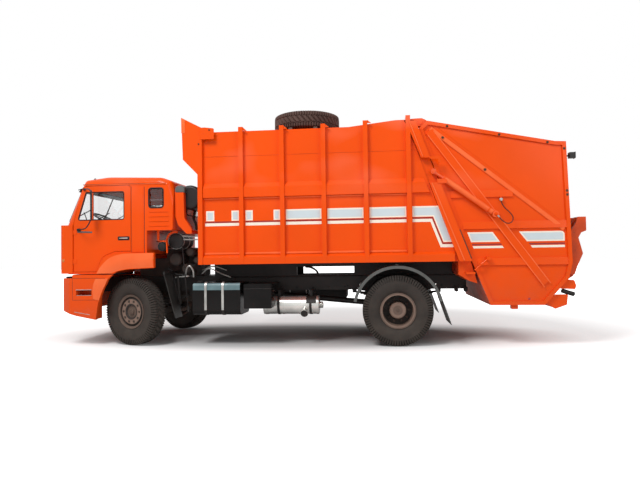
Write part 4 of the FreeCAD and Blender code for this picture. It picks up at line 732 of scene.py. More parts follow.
class TRUCK_OT_stage(bpy.types.Operator):
    """Camera, floor, lamps and sky"""
    bl_idname = "truck.stage"
    bl_label = "Stage"

    def execute(self, context):
        scene = context.scene
        scene.view_settings.view_transform = "Standard"
        view = bpy.data.cameras.new("camera")
        view.lens, view.sensor_width = CAMERA_LENS, CAMERA_SENSOR
        camera = bpy.data.objects.new("camera", view)
        scene.collection.objects.link(camera)
        yaw = Matrix.Rotation(math.radians(CAMERA_YAW), 4, "Z")
        pitch = Matrix.Rotation(math.radians(90 + CAMERA_PITCH), 4, "X")
        roll = Matrix.Rotation(math.radians(CAMERA_ROLL), 4, "Z")
        camera.matrix_world = Matrix.Translation(CAMERA_PLACE) @ (yaw @ pitch @ roll)
        scene.camera = camera
        self.floor(scene)
        self.lamps(scene)
        self.sky(scene)
        return {"FINISHED"}

    def floor(self, scene):
        """A wide flat sheet on a grid that glows white to the camera beside and far from the truck; under the
        truck it glows less and its colour darkens, a painted shadow.
        """
        side = np.linspace(-FLOOR_HALF, FLOOR_HALF, 13)
        across, along = np.meshgrid(side, side)
        verts = np.stack([across.ravel(), along.ravel(), 0 * across.ravel()], 1)
        corner = (np.arange(12)[:, None] * 13 + np.arange(12)).ravel()
        mesh = bpy.data.meshes.new("floor")
        mesh.from_pydata(verts, [], np.stack([corner, corner + 1, corner + 14, corner + 13], 1).tolist())
        made = Finish("floor_sheet")
        made.sockets(Roughness=0.9, Specular_IOR_Level=0.0)
        seen = made.add("ShaderNodeLightPath").outputs["Is Camera Ray"]
        glow = made.add("ShaderNodeEmission")
        glow.inputs["Color"].default_value = (1.0, 1.0, 1.0, 1.0)
        far = self.reach(made, (1.0, 1.0, 1.0))
        # painted shadow: towards the middle of the ground under the truck the floor stops glowing and its
        # colour darkens
        under = self.reach(made, PAINTED_SHADOW_SCALE, PAINTED_SHADOW_SHIFT)
        white = made.add("ShaderNodeMath", operation="ADD")
        made.wire(made.span(far, *FLOOR_FADE, 0.0, 1.0), white.inputs[0])
        made.wire(made.span(under, 0.75, 1.25, 0.0, FLOOR_GLOW), white.inputs[1])
        made.wire(made.mix(made.span(under, 0.45, 1.05), FLOOR_PAINTED_SHADOW, FLOOR_TINT),
                  made.shader.inputs["Base Color"])
        made.wire(made.product(seen, white.outputs["Value"]), glow.inputs["Strength"])
        both_parts = made.add("ShaderNodeAddShader")
        made.wire(made.shader.outputs["BSDF"], both_parts.inputs[0])
        made.wire(glow.outputs["Emission"], both_parts.inputs[1])
        end = next(n for n in made.tree.nodes if n.type == "OUTPUT_MATERIAL")
        made.wire(both_parts.outputs["Shader"], end.inputs["Surface"])
        mesh.materials.append(made.material)
        floor = bpy.data.objects.new("floor", mesh)
        scene.collection.objects.link(floor)

    def reach(self, made, scale, shift=(0.0, 0.0, 0.0)):
        """Distance from the origin, with each axis multiplied by its scale and then moved."""
        moved = made.add("ShaderNodeMapping")
        moved.inputs["Location"].default_value = shift
        moved.inputs["Scale"].default_value = scale
        made.wire(made.place, moved.inputs["Vector"])
        far = made.add("ShaderNodeVectorMath", operation="LENGTH")
        made.wire(moved.outputs["Vector"], far.inputs[0])
        return far.outputs["Value"]

    def lamps(self, scene):
        """Round lamps that face the places they are aimed at."""
        for name, place, size, power, target in LAMPS:
            light = bpy.data.lights.new(name, "AREA")
            light.shape, light.size, light.energy = "DISK", size, power
            lamp = bpy.data.objects.new(name, light)
            axes = facing(np.subtract(place, target))
            lamp.matrix_world = Matrix.Translation(place) @ Matrix(axes.T.tolist()).to_4x4()
            scene.collection.objects.link(lamp)

    def sky(self, scene):
        """Plain white sky, brighter to the camera, to glass and to gloss than to the lighting."""
        world = bpy.data.worlds.new("sky")
        scene.world = world
        world.use_nodes = True
        tree = world.node_tree
        soft = tree.nodes["Background"]
        soft.inputs["Color"].default_value = (1.0, 1.0, 1.0, 1.0)
        soft.inputs["Strength"].default_value = 0.42
        white = tree.nodes.new("ShaderNodeBackground")
        white.inputs["Color"].default_value = (1.0, 1.0, 1.0, 1.0)
        white.inputs["Strength"].default_value = 1.0
        rays = tree.nodes.new("ShaderNodeLightPath")
        seen = rays.outputs["Is Camera Ray"]
        for kind in ("Is Glossy Ray", "Is Transmission Ray"):
            most = tree.nodes.new("ShaderNodeMath")
            most.operation = "MAXIMUM"
            tree.links.new(seen, most.inputs[0])
            tree.links.new(rays.outputs[kind], most.inputs[1])
            seen = most.outputs[0]
        mixed = tree.nodes.new("ShaderNodeMixShader")
        tree.links.new(seen, mixed.inputs["Fac"])
        tree.links.new(soft.outputs["Background"], mixed.inputs[1])
        tree.links.new(white.outputs["Background"], mixed.inputs[2])
        tree.links.new(mixed.outputs["Shader"], tree.nodes["World Output"].inputs["Surface"])


# ---------------------------------------------------------------- wheels
TYRE_SIDE = ((0.096, 0.2555), (0.1005, 0.278), (0.113, 0.292), (0.129, 0.314), (0.1395, 0.345),
             (0.1455, 0.38), (0.146, 0.415), (0.1435, 0.448), (0.139, 0.48), (0.1335, 0.503),
             (0.127, 0.521), (0.119, 0.5335))
TREAD_HALF, CROWN = 0.112, 0.543
LUG_STOPS = (0.0, 0.04, 0.36, 0.4, 0.7)  # where a lug's groove begins and ends, as shares of one lug


def tyre(centre, axis, lugs, groove):
    """A lugged tyre: a closed section of (across, radius) rows turned about the axis.

    The pattern lowers the radius by the groove's depth: cross grooves over both shoulders, two zigzag
    grooves round the tread and slanted ones between them. The shoulder's grooves fade down the side wall.
    """
    side = smooth(TYRE_SIDE, 2)
    across = np.linspace(TREAD_HALF, -TREAD_HALF, 23)
    tread = np.stack([across, CROWN - 0.005 * (across / TREAD_HALF) ** 4], 1)
    section = np.concatenate([side, tread, (side * (-1, 1))[::-1]])
    phase = (np.arange(lugs)[:, None] + np.array(LUG_STOPS)).ravel()
    y, radius, p = section[:, :1], section[:, 1:], phase[None]
    share = np.abs(y) / TREAD_HALF

    def in_groove(value, low, high):
        return ((value % 1 > low) & (value % 1 < high)).astype(float)

    shoulder = in_groove(p + 0.5 * (y > 0), 0.02, 0.38) * (share > 0.58)
    zigzag = (np.abs(share - 0.48 - 0.05 * np.sign(p % 1 - 0.38)) < 0.05).astype(float)
    slant = in_groove(0.5 * p + 1.1 * y / TREAD_HALF, 0.04, 0.3) * (share < 0.46)
    pattern = np.maximum(np.maximum(shoulder, zigzag), slant)
    fade = np.clip((radius - 0.45) / 0.04, 0, 1)
    deep = radius - groove * pattern * fade
    wide = y * (1 - 0.16 * shoulder * (share > 1.0) * fade)
    turn = phase * 2 * np.pi / lugs
    wide = np.broadcast_to(wide, deep.shape)
    a, b = deep * np.cos(turn), deep * np.sin(turn)
    rows = np.stack((a, wide, b) if axis == "y" else (a, b, wide), -1)
    return loft(rows + np.asarray(centre, float), closed=True)


class TRUCK_OT_tyres(bpy.types.Operator):
    """Lugged tyres: one on each front wheel, two on each rear wheel, and the spare"""
    bl_idname = "truck.tyres"
    bl_label = "Tyres"

    def execute(self, context):
        sizes = context.scene.truck_sizes
        pattern = (sizes.lugs, sizes.groove)
        for side in ("left", "right"):
            front = steered(side, on_side(side, tyre((FRONT_X, -FRONT_Y, WHEEL_Z), "y", *pattern)))
            put(f"tread_front_{side}", front, "tyre", f"wheel_front_{side}", (f"tyre_front_{side}",))
            rear = on_side(side, *[tyre((REAR_X, -y, WHEEL_Z), "y", *pattern) for y in TWIN_Y])
            put(f"treads_rear_{side}", rear, "tyre", f"wheel_rear_{side}", (f"tyres_rear_{side}",))
        put("tread_spare", tyre(SPARE, "z", *pattern), "tyre_clean", "chassis", ("spare_tyre",))
        return {"FINISHED"}


RIM_FACE = ((0.104, 0.003), (0.104, 0.034), (0.1, 0.043), (0.092, 0.047), (0.077, 0.05), (0.074, 0.056),
            (0.074, 0.09), (0.079, 0.096), (0.092, 0.102), (0.0965, 0.11), (0.0975, 0.125))
RIM_LIP = ((0.0975, 0.196), (0.094, 0.204), (0.078, 0.214), (0.066, 0.224), (0.066, 0.231), (0.08, 0.238),
           (0.098, 0.242), (0.101, 0.25), (0.104, 0.263), (0.108, 0.27), (0.112, 0.271), (0.112, 0.2755),
           (0.102, 0.2755), (0.098, 0.2535), (-0.098, 0.2535), (-0.102, 0.2755), (-0.112, 0.2755),
           (-0.112, 0.2385), (0.04, 0.2385), (0.04, 0.205), (-0.06, 0.205), (-0.06, 0.003))
NUT_RING, NUTS = 0.1675, 10


def front_rim():
    """The left front rim: a (distance outwards, radius) profile turned about the axle.

    The flat ring between the hub and the lip has ten round pockets, each the depth of a smooth bowl.
    """
    flat = np.linspace(0.13, 0.193, 17)
    section = np.concatenate([RIM_FACE, np.stack([np.full(17, 0.0978), flat], 1), RIM_LIP])
    turn = np.linspace(0, 2 * np.pi, 300, endpoint=False)
    along, radius = section[:, :1], section[:, 1:]
    a, b = radius * np.cos(turn), radius * np.sin(turn)
    spots = ring_of((0, 0, 0), NUT_RING, NUTS)
    far = np.min([np.hypot(a - spot[0], b - spot[2]) for spot in spots], 0)
    pocket = np.clip((0.0215 - far) / 0.004, 0, 1) * (np.abs(along - 0.0977) < 0.001)
    deep = along - 0.02 * pocket
    rows = np.stack([a + FRONT_X, -FRONT_Y - deep, b + WHEEL_Z], -1)
    return loft(rows)


class TRUCK_OT_rims(bpy.types.Operator):
    """Wheel discs with their nuts and hub caps"""
    bl_idname = "truck.rims"
    bl_label = "Rims and nuts"

    def execute(self, context):
        radius = context.scene.truck_sizes.wheel_nut
        out = (0, -1, 0)
        front_nuts = many(stud(radius, 0.022),
                          ring_of((FRONT_X, -FRONT_Y - 0.078, WHEEL_Z), NUT_RING, NUTS), out)
        cap_bolts = many(nut(0.006, 0.004), ring_of((FRONT_X, -FRONT_Y - 0.103, WHEEL_Z), 0.024, 6), out)
        disc = -TWIN_Y[0] + 0.092
        rear_nuts = many(stud(radius, 0.034), ring_of((REAR_X, disc, WHEEL_Z), NUT_RING + 0.008, NUTS), out)
        hub_bolts = many(nut(0.01, 0.01), ring_of((REAR_X, -TWIN_Y[0] - 0.02, WHEEL_Z), 0.1, 12), out)
        cap = turned([(-0.0405, 0.003), (-0.0405, 0.02), (-0.036, 0.03), (-0.03, 0.032),
                      (-0.03, 0.062), (-0.024, 0.07), (-0.018, 0.07), (-0.018, 0.003)],
                     (REAR_X, -TWIN_Y[0], WHEEL_Z), "y", 32)
        for side in ("left", "right"):
            put(f"rim_disc_front_{side}", steered(side, on_side(side, front_rim())), f"rim_{side}",
                f"wheel_front_{side}", (f"rim_front_{side}",))
            put(f"nuts_front_{side}", steered(side, on_side(side, front_nuts, cap_bolts)), "cast",
                f"wheel_front_{side}")
            put(f"nuts_rear_{side}", on_side(side, rear_nuts, hub_bolts), "cast", f"wheel_rear_{side}")
            put(f"hub_cap_rear_{side}", on_side(side, cap), "rim", f"wheel_rear_{side}")
        return {"FINISHED"}


# ---------------------------------------------------------------- stripes
STRIPE_END = (2.001, 0.375)  # X where the stripe's top edge meets the slanted post, and its X per metre down
STRIPE_TURN = 0.913                  # width of the band beside the post for each metre of its height
STRIPE_LOW = 1.585                   # height at which the band beside the post ends
STRIPE_LINES = ((0.008, 0.03), (0.034, 0.08))  # dark line and cream line, measured down from the band


class TRUCK_OT_stripes(bpy.types.Operator):
    """Stripes on the sides of the waste body and the tailgate, one stretch in each panel"""
    bl_idname = "truck.stripes"
    bl_label = "Stripes"

    def execute(self, context):
        self.sizes = context.scene.truck_sizes
        band, border = self.sizes.stripe_band, self.sizes.stripe_border
        top = self.sizes.stripe_top
        full = [(x + RIB_WIDTH + 0.012, x + RIB_STEP - 0.012) for x in RIBS[1:4]]
        blocks = [(-1.632, -1.501), (-1.221, -1.1), (-0.995, -0.879), (-0.546, -0.445)]
        cream = [self.sheet(box_outline(x0, x1, top - band, top), BODY_SKIN, 0) for x0, x1 in blocks + full]
        pale = [self.sheet(box_outline(x0 + border, x1 - border, top - band + border, top - border),
                           BODY_SKIN, 1) for x0, x1 in blocks + full]
        line = []
        for x0, x1 in [(-1.65, -1.1), (-0.995, -0.445)] + full:
            for (high, low), group in zip(STRIPE_LINES, (line, cream)):
                group.append(self.sheet(box_outline(x0, x1, top - band - low, top - band - high),
                                        BODY_SKIN, 0))
        start = RIBS[4] + RIB_WIDTH + 0.012
        cream.append(self.sheet(self.turning(start, 0.0, band, False), BODY_SKIN, 0))
        pale.append(self.sheet(self.turning(start + border, border, band - border, False), BODY_SKIN, 1))
        for (high, low), group in zip(STRIPE_LINES, (line, cream)):
            group.append(self.sheet(self.turning(start, band + high, band + low, True), BODY_SKIN, 0))
        self.lay("body", "chassis", cream, pale, line)
        self.gate()
        return {"FINISHED"}

    def lay(self, where, body, cream, pale, line):
        """One piece for each colour of the stripes on both sides of a body."""
        put(f"stripe_border_{where}", both(*cream), "cream", body)
        put(f"stripe_middle_{where}", both(*pale), "pale", body)
        put(f"stripe_line_{where}", both(*line), "line", body)

    def sheet(self, outline, skin, layer):
        """One layer of vinyl on a side skin; later layers stand on earlier ones."""
        face = skin + layer * self.sizes.vinyl + 0.0003
        return slab(outline, -face - self.sizes.vinyl, -face, "y", 0.0)

    def turning(self, start, outer, inner, under):
        """Outline of the stretch that turns down beside the slanted post.

        outer and inner are its edges' distances below the stripe's top edge; under carries it on beneath
        the band's end as far as the post.
        """
        top, band = self.sizes.stripe_top, self.sizes.stripe_band

        def post(z):
            return STRIPE_END[0] + (top - z) * STRIPE_END[1]

        def corner(down):
            return post(top - down) - down * STRIPE_TURN, top - down

        if under:
            ends = [STRIPE_LOW - (down - band) for down in (outer, inner)]
            foot = [(post(ends[0]) - outer * STRIPE_TURN, ends[0]), (post(ends[0]) - 0.006, ends[0]),
                    (post(ends[1]) - 0.006, ends[1]), (post(ends[1]) - inner * STRIPE_TURN, ends[1])]
        else:
            low = STRIPE_LOW + outer
            foot = [(post(low) - outer * STRIPE_TURN, low), (post(low) - inner * STRIPE_TURN, low)]
        return np.array([(start, top - outer), corner(outer)] + foot + [corner(inner), (start, top - inner)])

    def gate(self):
        """The two short stretches on each side of the tailgate, in front of and behind its guide beam."""
        border = self.sizes.stripe_border
        front = [(2.425, 1.725), (2.8, 1.725), (2.905, 1.575), (2.48, 1.575)]
        rear = rounded([(3.185, 1.725), (3.845, 1.725, 0.055), (3.845, 1.575), (3.3, 1.575)])
        lines = ([(2.489, 1.55), (2.92, 1.55), (2.935, 1.525), (2.498, 1.525)],
                 [(3.32, 1.55), (3.845, 1.55), (3.845, 1.525), (3.345, 1.525)])
        under = [(2.502, 1.515), (2.94, 1.515), (2.96, 1.48), (2.515, 1.48)]
        behind = [(3.35, 1.515), (3.845, 1.515), (3.845, 1.48), (3.375, 1.48)]
        outlines = [np.array(front), rear]
        cream = [self.sheet(np.array(o), GATE_SKIN, 0) for o in outlines + [under, behind]]
        pale = [self.sheet(drawn_in(o, border), GATE_SKIN, 1) for o in outlines]
        line = [self.sheet(np.array(o), GATE_SKIN, 0) for o in lines]
        self.lay("gate", "tailgate", cream, pale, line)


# ---------------------------------------------------------------- cab
WINDOW = ((-3.79, 2.04, 0.025), (-3.65, 2.49, 0.025), (-3.005, 2.49, 0.03), (-3.005, 2.04, 0.03))
VENT_BAR = (-3.568, -3.532)          # upright bar between the vent window and the main window
QUARTER = ((-2.584, 2.22, 0.04), (-2.584, 2.53, 0.04), (-2.347, 2.53, 0.04), (-2.347, 2.22, 0.04))
SCREEN_LOW, SCREEN_HIGH = (-3.99, 2.014), (-3.75, 2.558)  # X and Z of the windscreen's lower and upper edges
SCREEN_HALF, SCREEN_BAR = 1.073, 0.006
# X and Z of the edges of the crowned lip over the front wheel: on the cab, then on the wing under it
ARCH_OUTER = ((-3.442, 1.17), (-3.374, 1.28), (-3.223, 1.418), (-3.011, 1.478), (-2.8, 1.486),
              (-2.492, 1.486))
ARCH_INNER = ((-3.195, 1.17), (-3.165, 1.185), (-3.095, 1.206), (-2.93, 1.238), (-2.7, 1.252),
              (-2.492, 1.256))
WING_OUTER = ((-3.462, 1.086), (-3.5, 0.985), (-3.512, 0.88), (-3.5, 0.76))
WING_INNER = ((-3.252, 1.086), (-3.298, 0.985), (-3.352, 0.88), (-3.405, 0.74))
FLARE_FACE, FLARE_BACK = 1.2318, 1.231  # outer and inner face of the lip's edges
WIPER_Y = (-0.62, 0.06, 0.66)


class TRUCK_OT_cab_seals(bpy.types.Operator):
    """Rubber seals round the windows, with the bars that divide them"""
    bl_idname = "truck.cab_seals"
    bl_label = "Window seals"

    def execute(self, context):
        seal = context.scene.truck_sizes.seal
        door = bead(rounded(WINDOW), -CAB_SKIN + 0.004, "y", seal)
        vent = slab(box_outline(*VENT_BAR, 2.05, 2.48), -CAB_SKIN - 0.002, -CAB_SKIN + 0.03)
        for side in ("left", "right"):
            put(f"seal_door_{side}", on_side(side, door), "rubber", f"door_{side}")
            put(f"vent_bar_{side}", on_side(side, vent), "orange", f"door_{side}")
        quarter = bead(rounded(QUARTER), -CAB_SKIN - 0.001, "y", 1.4 * seal)
        rear = bead(box_outline(-0.52, 0.52, 2.14, 2.5, 0.06), -2.19, "x", seal)
        put("seals_quarter", join(both(quarter), rear), "rubber", "cab")
        put("seals_screen", join(*[self.screen(sign, seal) for sign in (-1, 1)]), "rubber", "cab")
        return {"FINISHED"}

    def screen(self, sign, seal):
        """The seal round one windscreen pane, a closed round bar in the pane's slanted plane."""
        flat = rounded([(sign * SCREEN_BAR, 0.0, 0.03), (sign * SCREEN_HALF, 0.0, 0.05),
                        (sign * SCREEN_HALF, 1.0, 0.05), (sign * SCREEN_BAR, 1.0, 0.03)])
        low, high = np.array(SCREEN_LOW), np.array(SCREEN_HIGH)
        spot = low + (high - low) * flat[:, 1:]
        path = np.stack([spot[:, 0] - 0.004, flat[:, 0], spot[:, 1]], 1)
        return tube(np.concatenate([path, path[:2]]), seal, 8)


class TRUCK_OT_cab_details(bpy.types.Operator):
    """Sun visor, gutters, pillar strips, flares, ribs, plates, markers, grille and wipers of the cab"""
    bl_idname = "truck.cab_details"
    bl_label = "Cab details"

    def execute(self, context):
        skin = -CAB_SKIN
        visor = bent_sheet([(-3.802, 2.508), (-3.78, 2.54), (-3.752, 2.556)], 0.004, -1.12, 1.12)
        arm = slab([(-3.78, 2.528), (-3.69, 2.554), (-3.69, 2.564), (-3.78, 2.54)], skin - 0.008,
                   skin + 0.002)
        put("sun_visor", join(visor, both(arm)), "plastic", "cab")
        rim = rounded_slab([(-3.69, 2.604, 0.003), (-3.69, 2.616, 0.003), (-2.3, 2.606, 0.003),
                            (-2.3, 2.594, 0.003)], skin - 0.01, skin + 0.004)
        strip = rounded_slab([(-2.872, 1.5, 0.01), (-2.872, 2.56, 0.02), (-2.682, 2.56, 0.02),
                              (-2.682, 1.5, 0.01)], skin - 0.007, skin + 0.003)
        ribs = [rounded_slab([(-2.585, z - 0.011, 0.01), (-2.585, z + 0.011, 0.01),
                              (-2.255, z + 0.011, 0.01), (-2.255, z - 0.011, 0.01)], skin - 0.01,
                             skin + 0.004, "y", 0.006) for z in (2.152, 2.076, 2.0, 1.924)]
        ledge = slab([(-2.62, 1.85), (-2.62, 1.872), (-2.2, 1.872), (-2.2, 1.85)], skin - 0.016, skin + 0.01)
        put("cab_strips", both(strip, ledge, *ribs), "orange", "cab")
        # gutters and flares get the paler orange of painted highlights
        put("cab_gutters", both(rim), "orange_painted_highlight", "cab")
        put("arch_flares", both(self.flare(ARCH_OUTER, ARCH_INNER, 0.018)), "orange_painted_highlight", "cab")
        put("wing_flares", both(self.flare(WING_OUTER, WING_INNER, 0.012)), "orange_painted_highlight", "chassis")
        grooves = [slab(box_outline(-2.666, -2.656, 1.48, 2.56), skin - 0.0015, skin + 0.002),
                   slab(box_outline(-2.88, -2.874, 1.5, 2.57), skin - 0.0015, skin + 0.002),
                   slab([(-3.7, 2.618), (-3.7, 2.624), (-2.3, 2.614), (-2.3, 2.608)], skin - 0.0015,
                        skin + 0.003)]
        put("cab_grooves", both(*grooves), "rubber", "cab")
        sign = rounded_slab([(-3.8, 1.836, 0.008), (-3.8, 1.866, 0.014), (-3.545, 1.852, 0.008),
                             (-3.545, 1.826, 0.008)], skin - 0.004, skin - CLEAR)
        for side in ("left", "right"):
            put(f"plate_{side}", on_side(side, sign), "guard", f"door_{side}")
        nub = turned([(0.0, 0.001), (0.0, 0.03), (0.03, 0.024), (0.05, 0.01), (0.052, 0.001)],
                     (-3.62, -0.93, 2.702), "z", 20)
        put("roof_aerial", nub, "plastic", "cab")
        markers = join(drum((-4.03, -1.18, 1.385), (-4.03, -1.197, 1.385), 0.022, 0.003, 18),
                       rounded_slab([(-2.52, 1.36, 0.008), (-2.52, 1.43, 0.008), (-2.488, 1.43, 0.008),
                                     (-2.488, 1.36, 0.008)], -1.244, -1.23))
        put("cab_markers", both(markers), "amber", "cab")
        self.front()
        return {"FINISHED"}

    def flare(self, outer, inner, crown):
        """Lip over the front wheel: rows across it bulge outwards by a half sine between its two edges."""
        outer, inner = smooth(outer, 6), smooth(inner, 6)
        share = row_of(0.0, 1.0, 9)[None, :]
        x, z = (outer[:, i, None] * (1 - share) + inner[:, i, None] * share for i in (0, 1))
        skin = -FLARE_FACE - crown * np.sin(np.pi * share) + 0.0 * x
        front_face = np.stack([x, skin, z], -1)
        back = front_face[:, ::-1] * (1, 0, 1) - (0, FLARE_BACK, 0)
        return loft(np.concatenate([front_face, back[:, 1:-1]], 1))

    def front(self):
        """Slotted grille and the three wipers on the cab's face."""
        slots = [slab(box_outline(-0.72, 0.72, z, z + 0.03, 0.014), -4.114, -4.09, "x", 0.003)
                 for z in row_of(1.25, 1.49, 5)]
        frame_bar = bead(box_outline(-0.76, 0.76, 1.225, 1.545, 0.03), -4.108, "x", 0.007)
        put("grille", join(frame_bar, *slots), "plastic", "cab")
        arms = [smooth_tube([(-4.02, 0.3 + y, 1.985), (-4.05, 0.24 + y, 2.04), (-3.96, -0.06 + y, 2.21)],
                            0.008, 6) for y in WIPER_Y]
        blades = [tube([(-4.002, -0.28 + y, 2.09), (-3.932, 0.1 + y, 2.26)], 0.009) for y in WIPER_Y]
        put("wipers", join(*arms, *blades), "rubber", "cab")


class TRUCK_OT_mirrors(bpy.types.Operator):
    """Mirror housings with their arms, and the bright door handles, each on a dark plate painted as the shade
    of its pocket
    """
    bl_idname = "truck.mirrors"
    bl_label = "Mirrors and handles"

    def execute(self, context):
        turn = math.radians(27)
        along = np.array([-math.sin(turn), math.cos(turn)])
        across = np.array([math.cos(turn), math.sin(turn)])
        centre = np.array([-3.468, -1.34])
        outline = rounded([(-0.08, 2.03, 0.035), (-0.08, 2.5, 0.035), (0.08, 2.5, 0.035),
                           (0.08, 2.03, 0.035)])

        def face(low, high, edge, inset=0.0):
            """A plate in the mirror's own plane: a along it, thickness across it."""
            verts, faces = slab(drawn_in(outline, inset) if inset else outline, low, high, "y", edge)
            flat = centre + verts[:, :1] * along + verts[:, 1:2] * across
            return np.stack([flat[:, 0], flat[:, 1], verts[:, 2]], 1), faces

        housing = face(-0.015, 0.013, 0.006)
        glass = face(0.0125, 0.015, 0.001, 0.01)
        skin = -CAB_SKIN
        arms = [smooth_tube([(-3.77, skin - 0.012, 1.88), (-3.64, -1.29, 1.886), (-3.56, -1.335, 1.905),
                             (-3.505, -1.336, 1.98), (-3.472, -1.336, 2.06)], 0.01, 5),
                smooth_tube([(-3.67, skin - 0.012, 2.54), (-3.57, -1.26, 2.536), (-3.49, -1.33, 2.5),
                             (-3.47, -1.336, 2.45)], 0.01, 5)]
        feet = [block((-3.8, skin - 0.02, 1.858), (-3.742, skin - CLEAR, 1.902)),
                block((-3.69, skin - 0.02, 2.522), (-3.652, skin - CLEAR, 2.558))]
        grip = rounded_slab([(-3.085, 1.726, 0.005), (-3.082, 1.74, 0.006), (-2.94, 1.744, 0.008),
                             (-2.938, 1.722, 0.008)], skin - 0.02, skin - 0.008, "y", 0.004)
        # a dark plate behind the handle: painted shade of the handle's pocket
        pocket = slab(box_outline(-3.11, -2.912, 1.7, 1.762, 0.014), skin - 0.003, skin - 0.0003, "y", 0.001)
        for side in ("left", "right"):
            put(f"mirror_arms_{side}", on_side(side, housing, *arms, *feet), "plastic", f"door_{side}",
                (f"mirror_{side}",))
            put(f"mirror_glass_{side}", on_side(side, glass), "chrome", f"door_{side}")
            put(f"handle_{side}", on_side(side, grip), "zinc", f"door_{side}")
            put(f"handle_pocket_shade_{side}", on_side(side, pocket), "rubber", f"door_{side}")
        return {"FINISHED"}


class TRUCK_OT_bumper(bpy.types.Operator):
    """Lamps, step with its trim and a painted highlight, seams, shroud and number plate of the bumper"""
    bl_idname = "truck.bumper"
    bl_label = "Bumper"

    def execute(self, context):
        side = -1.2305
        profile = [(-4.086, 0.002), (-4.087, 0.048), (-4.09, 0.07), (-4.096, 0.074), (-4.096, 0.068),
                   (-4.0905, 0.046), (-4.09, 0.002)]
        bowls = [turned(profile, (0, y, 0.9), "x", 36) for y in (-0.8, -0.96, 0.8, 0.96)]
        put("lamp_bowls", join(*bowls), "chrome", "chassis")
        # bright strips: a trim along the step's upper edge, and a painted highlight along the lower recess
        trims_and_highlight = [slab(box_outline(-3.795, -3.525, 0.904, 0.914), side - 0.004, side + 0.01),
                 slab([(-3.82, 0.548), (-3.82, 0.556), (-3.56, 0.512), (-3.56, 0.504)], side - 0.003,
                      side + 0.01)]
        put("step_trim_and_highlight", both(*trims_and_highlight), "zinc", "chassis")
        tread = block((-3.788, -1.226, 0.8155), (-3.532, -1.06, 0.822), 0.001)
        put("step_treads", both(tread), "zinc", "chassis")
        seams = [slab(box_outline(-3.85, -3.47, 0.742, 0.748), side - 0.001, side + 0.003),
                 slab(box_outline(-3.856, -3.85, 0.742, 1.092), side - 0.001, side + 0.003),
                 slab(box_outline(-3.856, -3.3, 1.092, 1.098), side - 0.001, side + 0.003)]
        put("bumper_seams", both(*seams), "rubber", "chassis")
        shroud = block((-3.96, -1.02, 1.0965), (-3.86, 1.02, 1.15))
        ledge = block((-4.06, -1.06, 1.0965), (-3.962, 1.06, 1.122))
        put("cab_shroud", join(shroud, ledge), "black", "chassis")
        plate = slab(box_outline(-0.262, 0.262, 0.64, 0.756, 0.01), -4.136, -4.1305, "x", 0.002)
        put("front_plate", plate, "cream", "chassis")
        grilles = [slab(box_outline(-0.56, 0.56, z, z + 0.028, 0.012), -4.134, -4.12, "x", 0.003)
                   for z in (0.84, 0.89, 0.94)]
        put("bumper_slots", join(*grilles), "plastic", "chassis")
        return {"FINISHED"}


def cushion(a, b, low, high, crown, turn=0.0, steps=12):
    """A padded cushion on a grid: a smooth dome thickens its middle and the crown lifts its upper face.

    a and b are its ends along X and Y, low and high its Z before it is turned about Y at its rear edge.
    """
    s = np.sin(np.linspace(-np.pi / 2, np.pi / 2, steps))
    u, v = np.meshgrid(s, s, indexing="ij")
    dome = ((1 - np.abs(u) ** 4) * (1 - np.abs(v) ** 4)) ** 0.5
    middle, half = (low + high) / 2, (high - low) / 2
    x = (a[0] + a[1]) / 2 + (a[1] - a[0]) / 2 * u
    y = (b[0] + b[1]) / 2 + (b[1] - b[0]) / 2 * v
    seams = 0.006 * np.cos(3 * np.pi * v) ** 8
    top = middle + half * (0.45 + 0.55 * dome) + crown * dome - seams * dome
    base = middle - half * (0.45 + 0.55 * dome)
    grids = [np.stack([x, y, z], -1) for z in (top, base)]
    number = np.arange(steps * steps).reshape(steps, steps)
    quads = np.stack([number[:-1, :-1], number[1:, :-1], number[1:, 1:], number[:-1, 1:]], -1).reshape(-1, 4)
    edge = np.concatenate([number[:-1, 0], number[-1, :-1], number[:0:-1, -1], number[0, :0:-1]])
    rim = np.stack([edge, np.roll(edge, -1), np.roll(edge, -1) + steps ** 2, edge + steps ** 2], 1)
    verts = np.concatenate([grid.reshape(-1, 3) for grid in grids])
    pivot = np.array([a[1], 0.0, low])
    c, r = math.cos(turn), math.sin(turn)
    verts = (verts - pivot) @ np.array([[c, 0, -r], [0, 1, 0], [r, 0, c]]) + pivot
    return verts, [quads, quads[:, ::-1] + steps ** 2, rim]


SEAT_Y = (-0.59, 0.1, 0.69)


class TRUCK_OT_seats(bpy.types.Operator):
    """Three seats and the bunk as padded cushions, on their boxes"""
    bl_idname = "truck.seats"
    bl_label = "Seats"

    def execute(self, context):
        for index, y in enumerate(SEAT_Y):
            span = (y - 0.225, y + 0.225)
            self.pad(f"seat_base_{index}", cushion((-3.235, -2.765), span, 1.6, 1.715, 0.02), "seats")
            back = cushion((-3.3, -2.745), span, 1.745, 1.84, 0.02, math.radians(83))
            self.pad(f"seat_back_{index}", back, "seats")
        self.pad("bunk", cushion((-2.575, -2.27), (-1.108, 1.108), 1.9, 1.992, 0.012), "seats")
        frames = [block((-3.23, y - 0.22, 1.522), (-2.77, y + 0.22, 1.6)) for y in SEAT_Y]
        put("seat_frames", join(block((-2.578, -1.112, 1.896), (-2.268, 1.112, 1.91)), *frames),
            "interior", "cab")
        return {"FINISHED"}

    def pad(self, name, shape, node):
        """A padded piece in cloth, its surface divided once more."""
        piece = put(name, shape, "cloth", "cab", (node,), 60.0)
        finer = piece.modifiers.new("Subdivision", "SUBSURF")
        finer.levels = finer.render_levels = 1


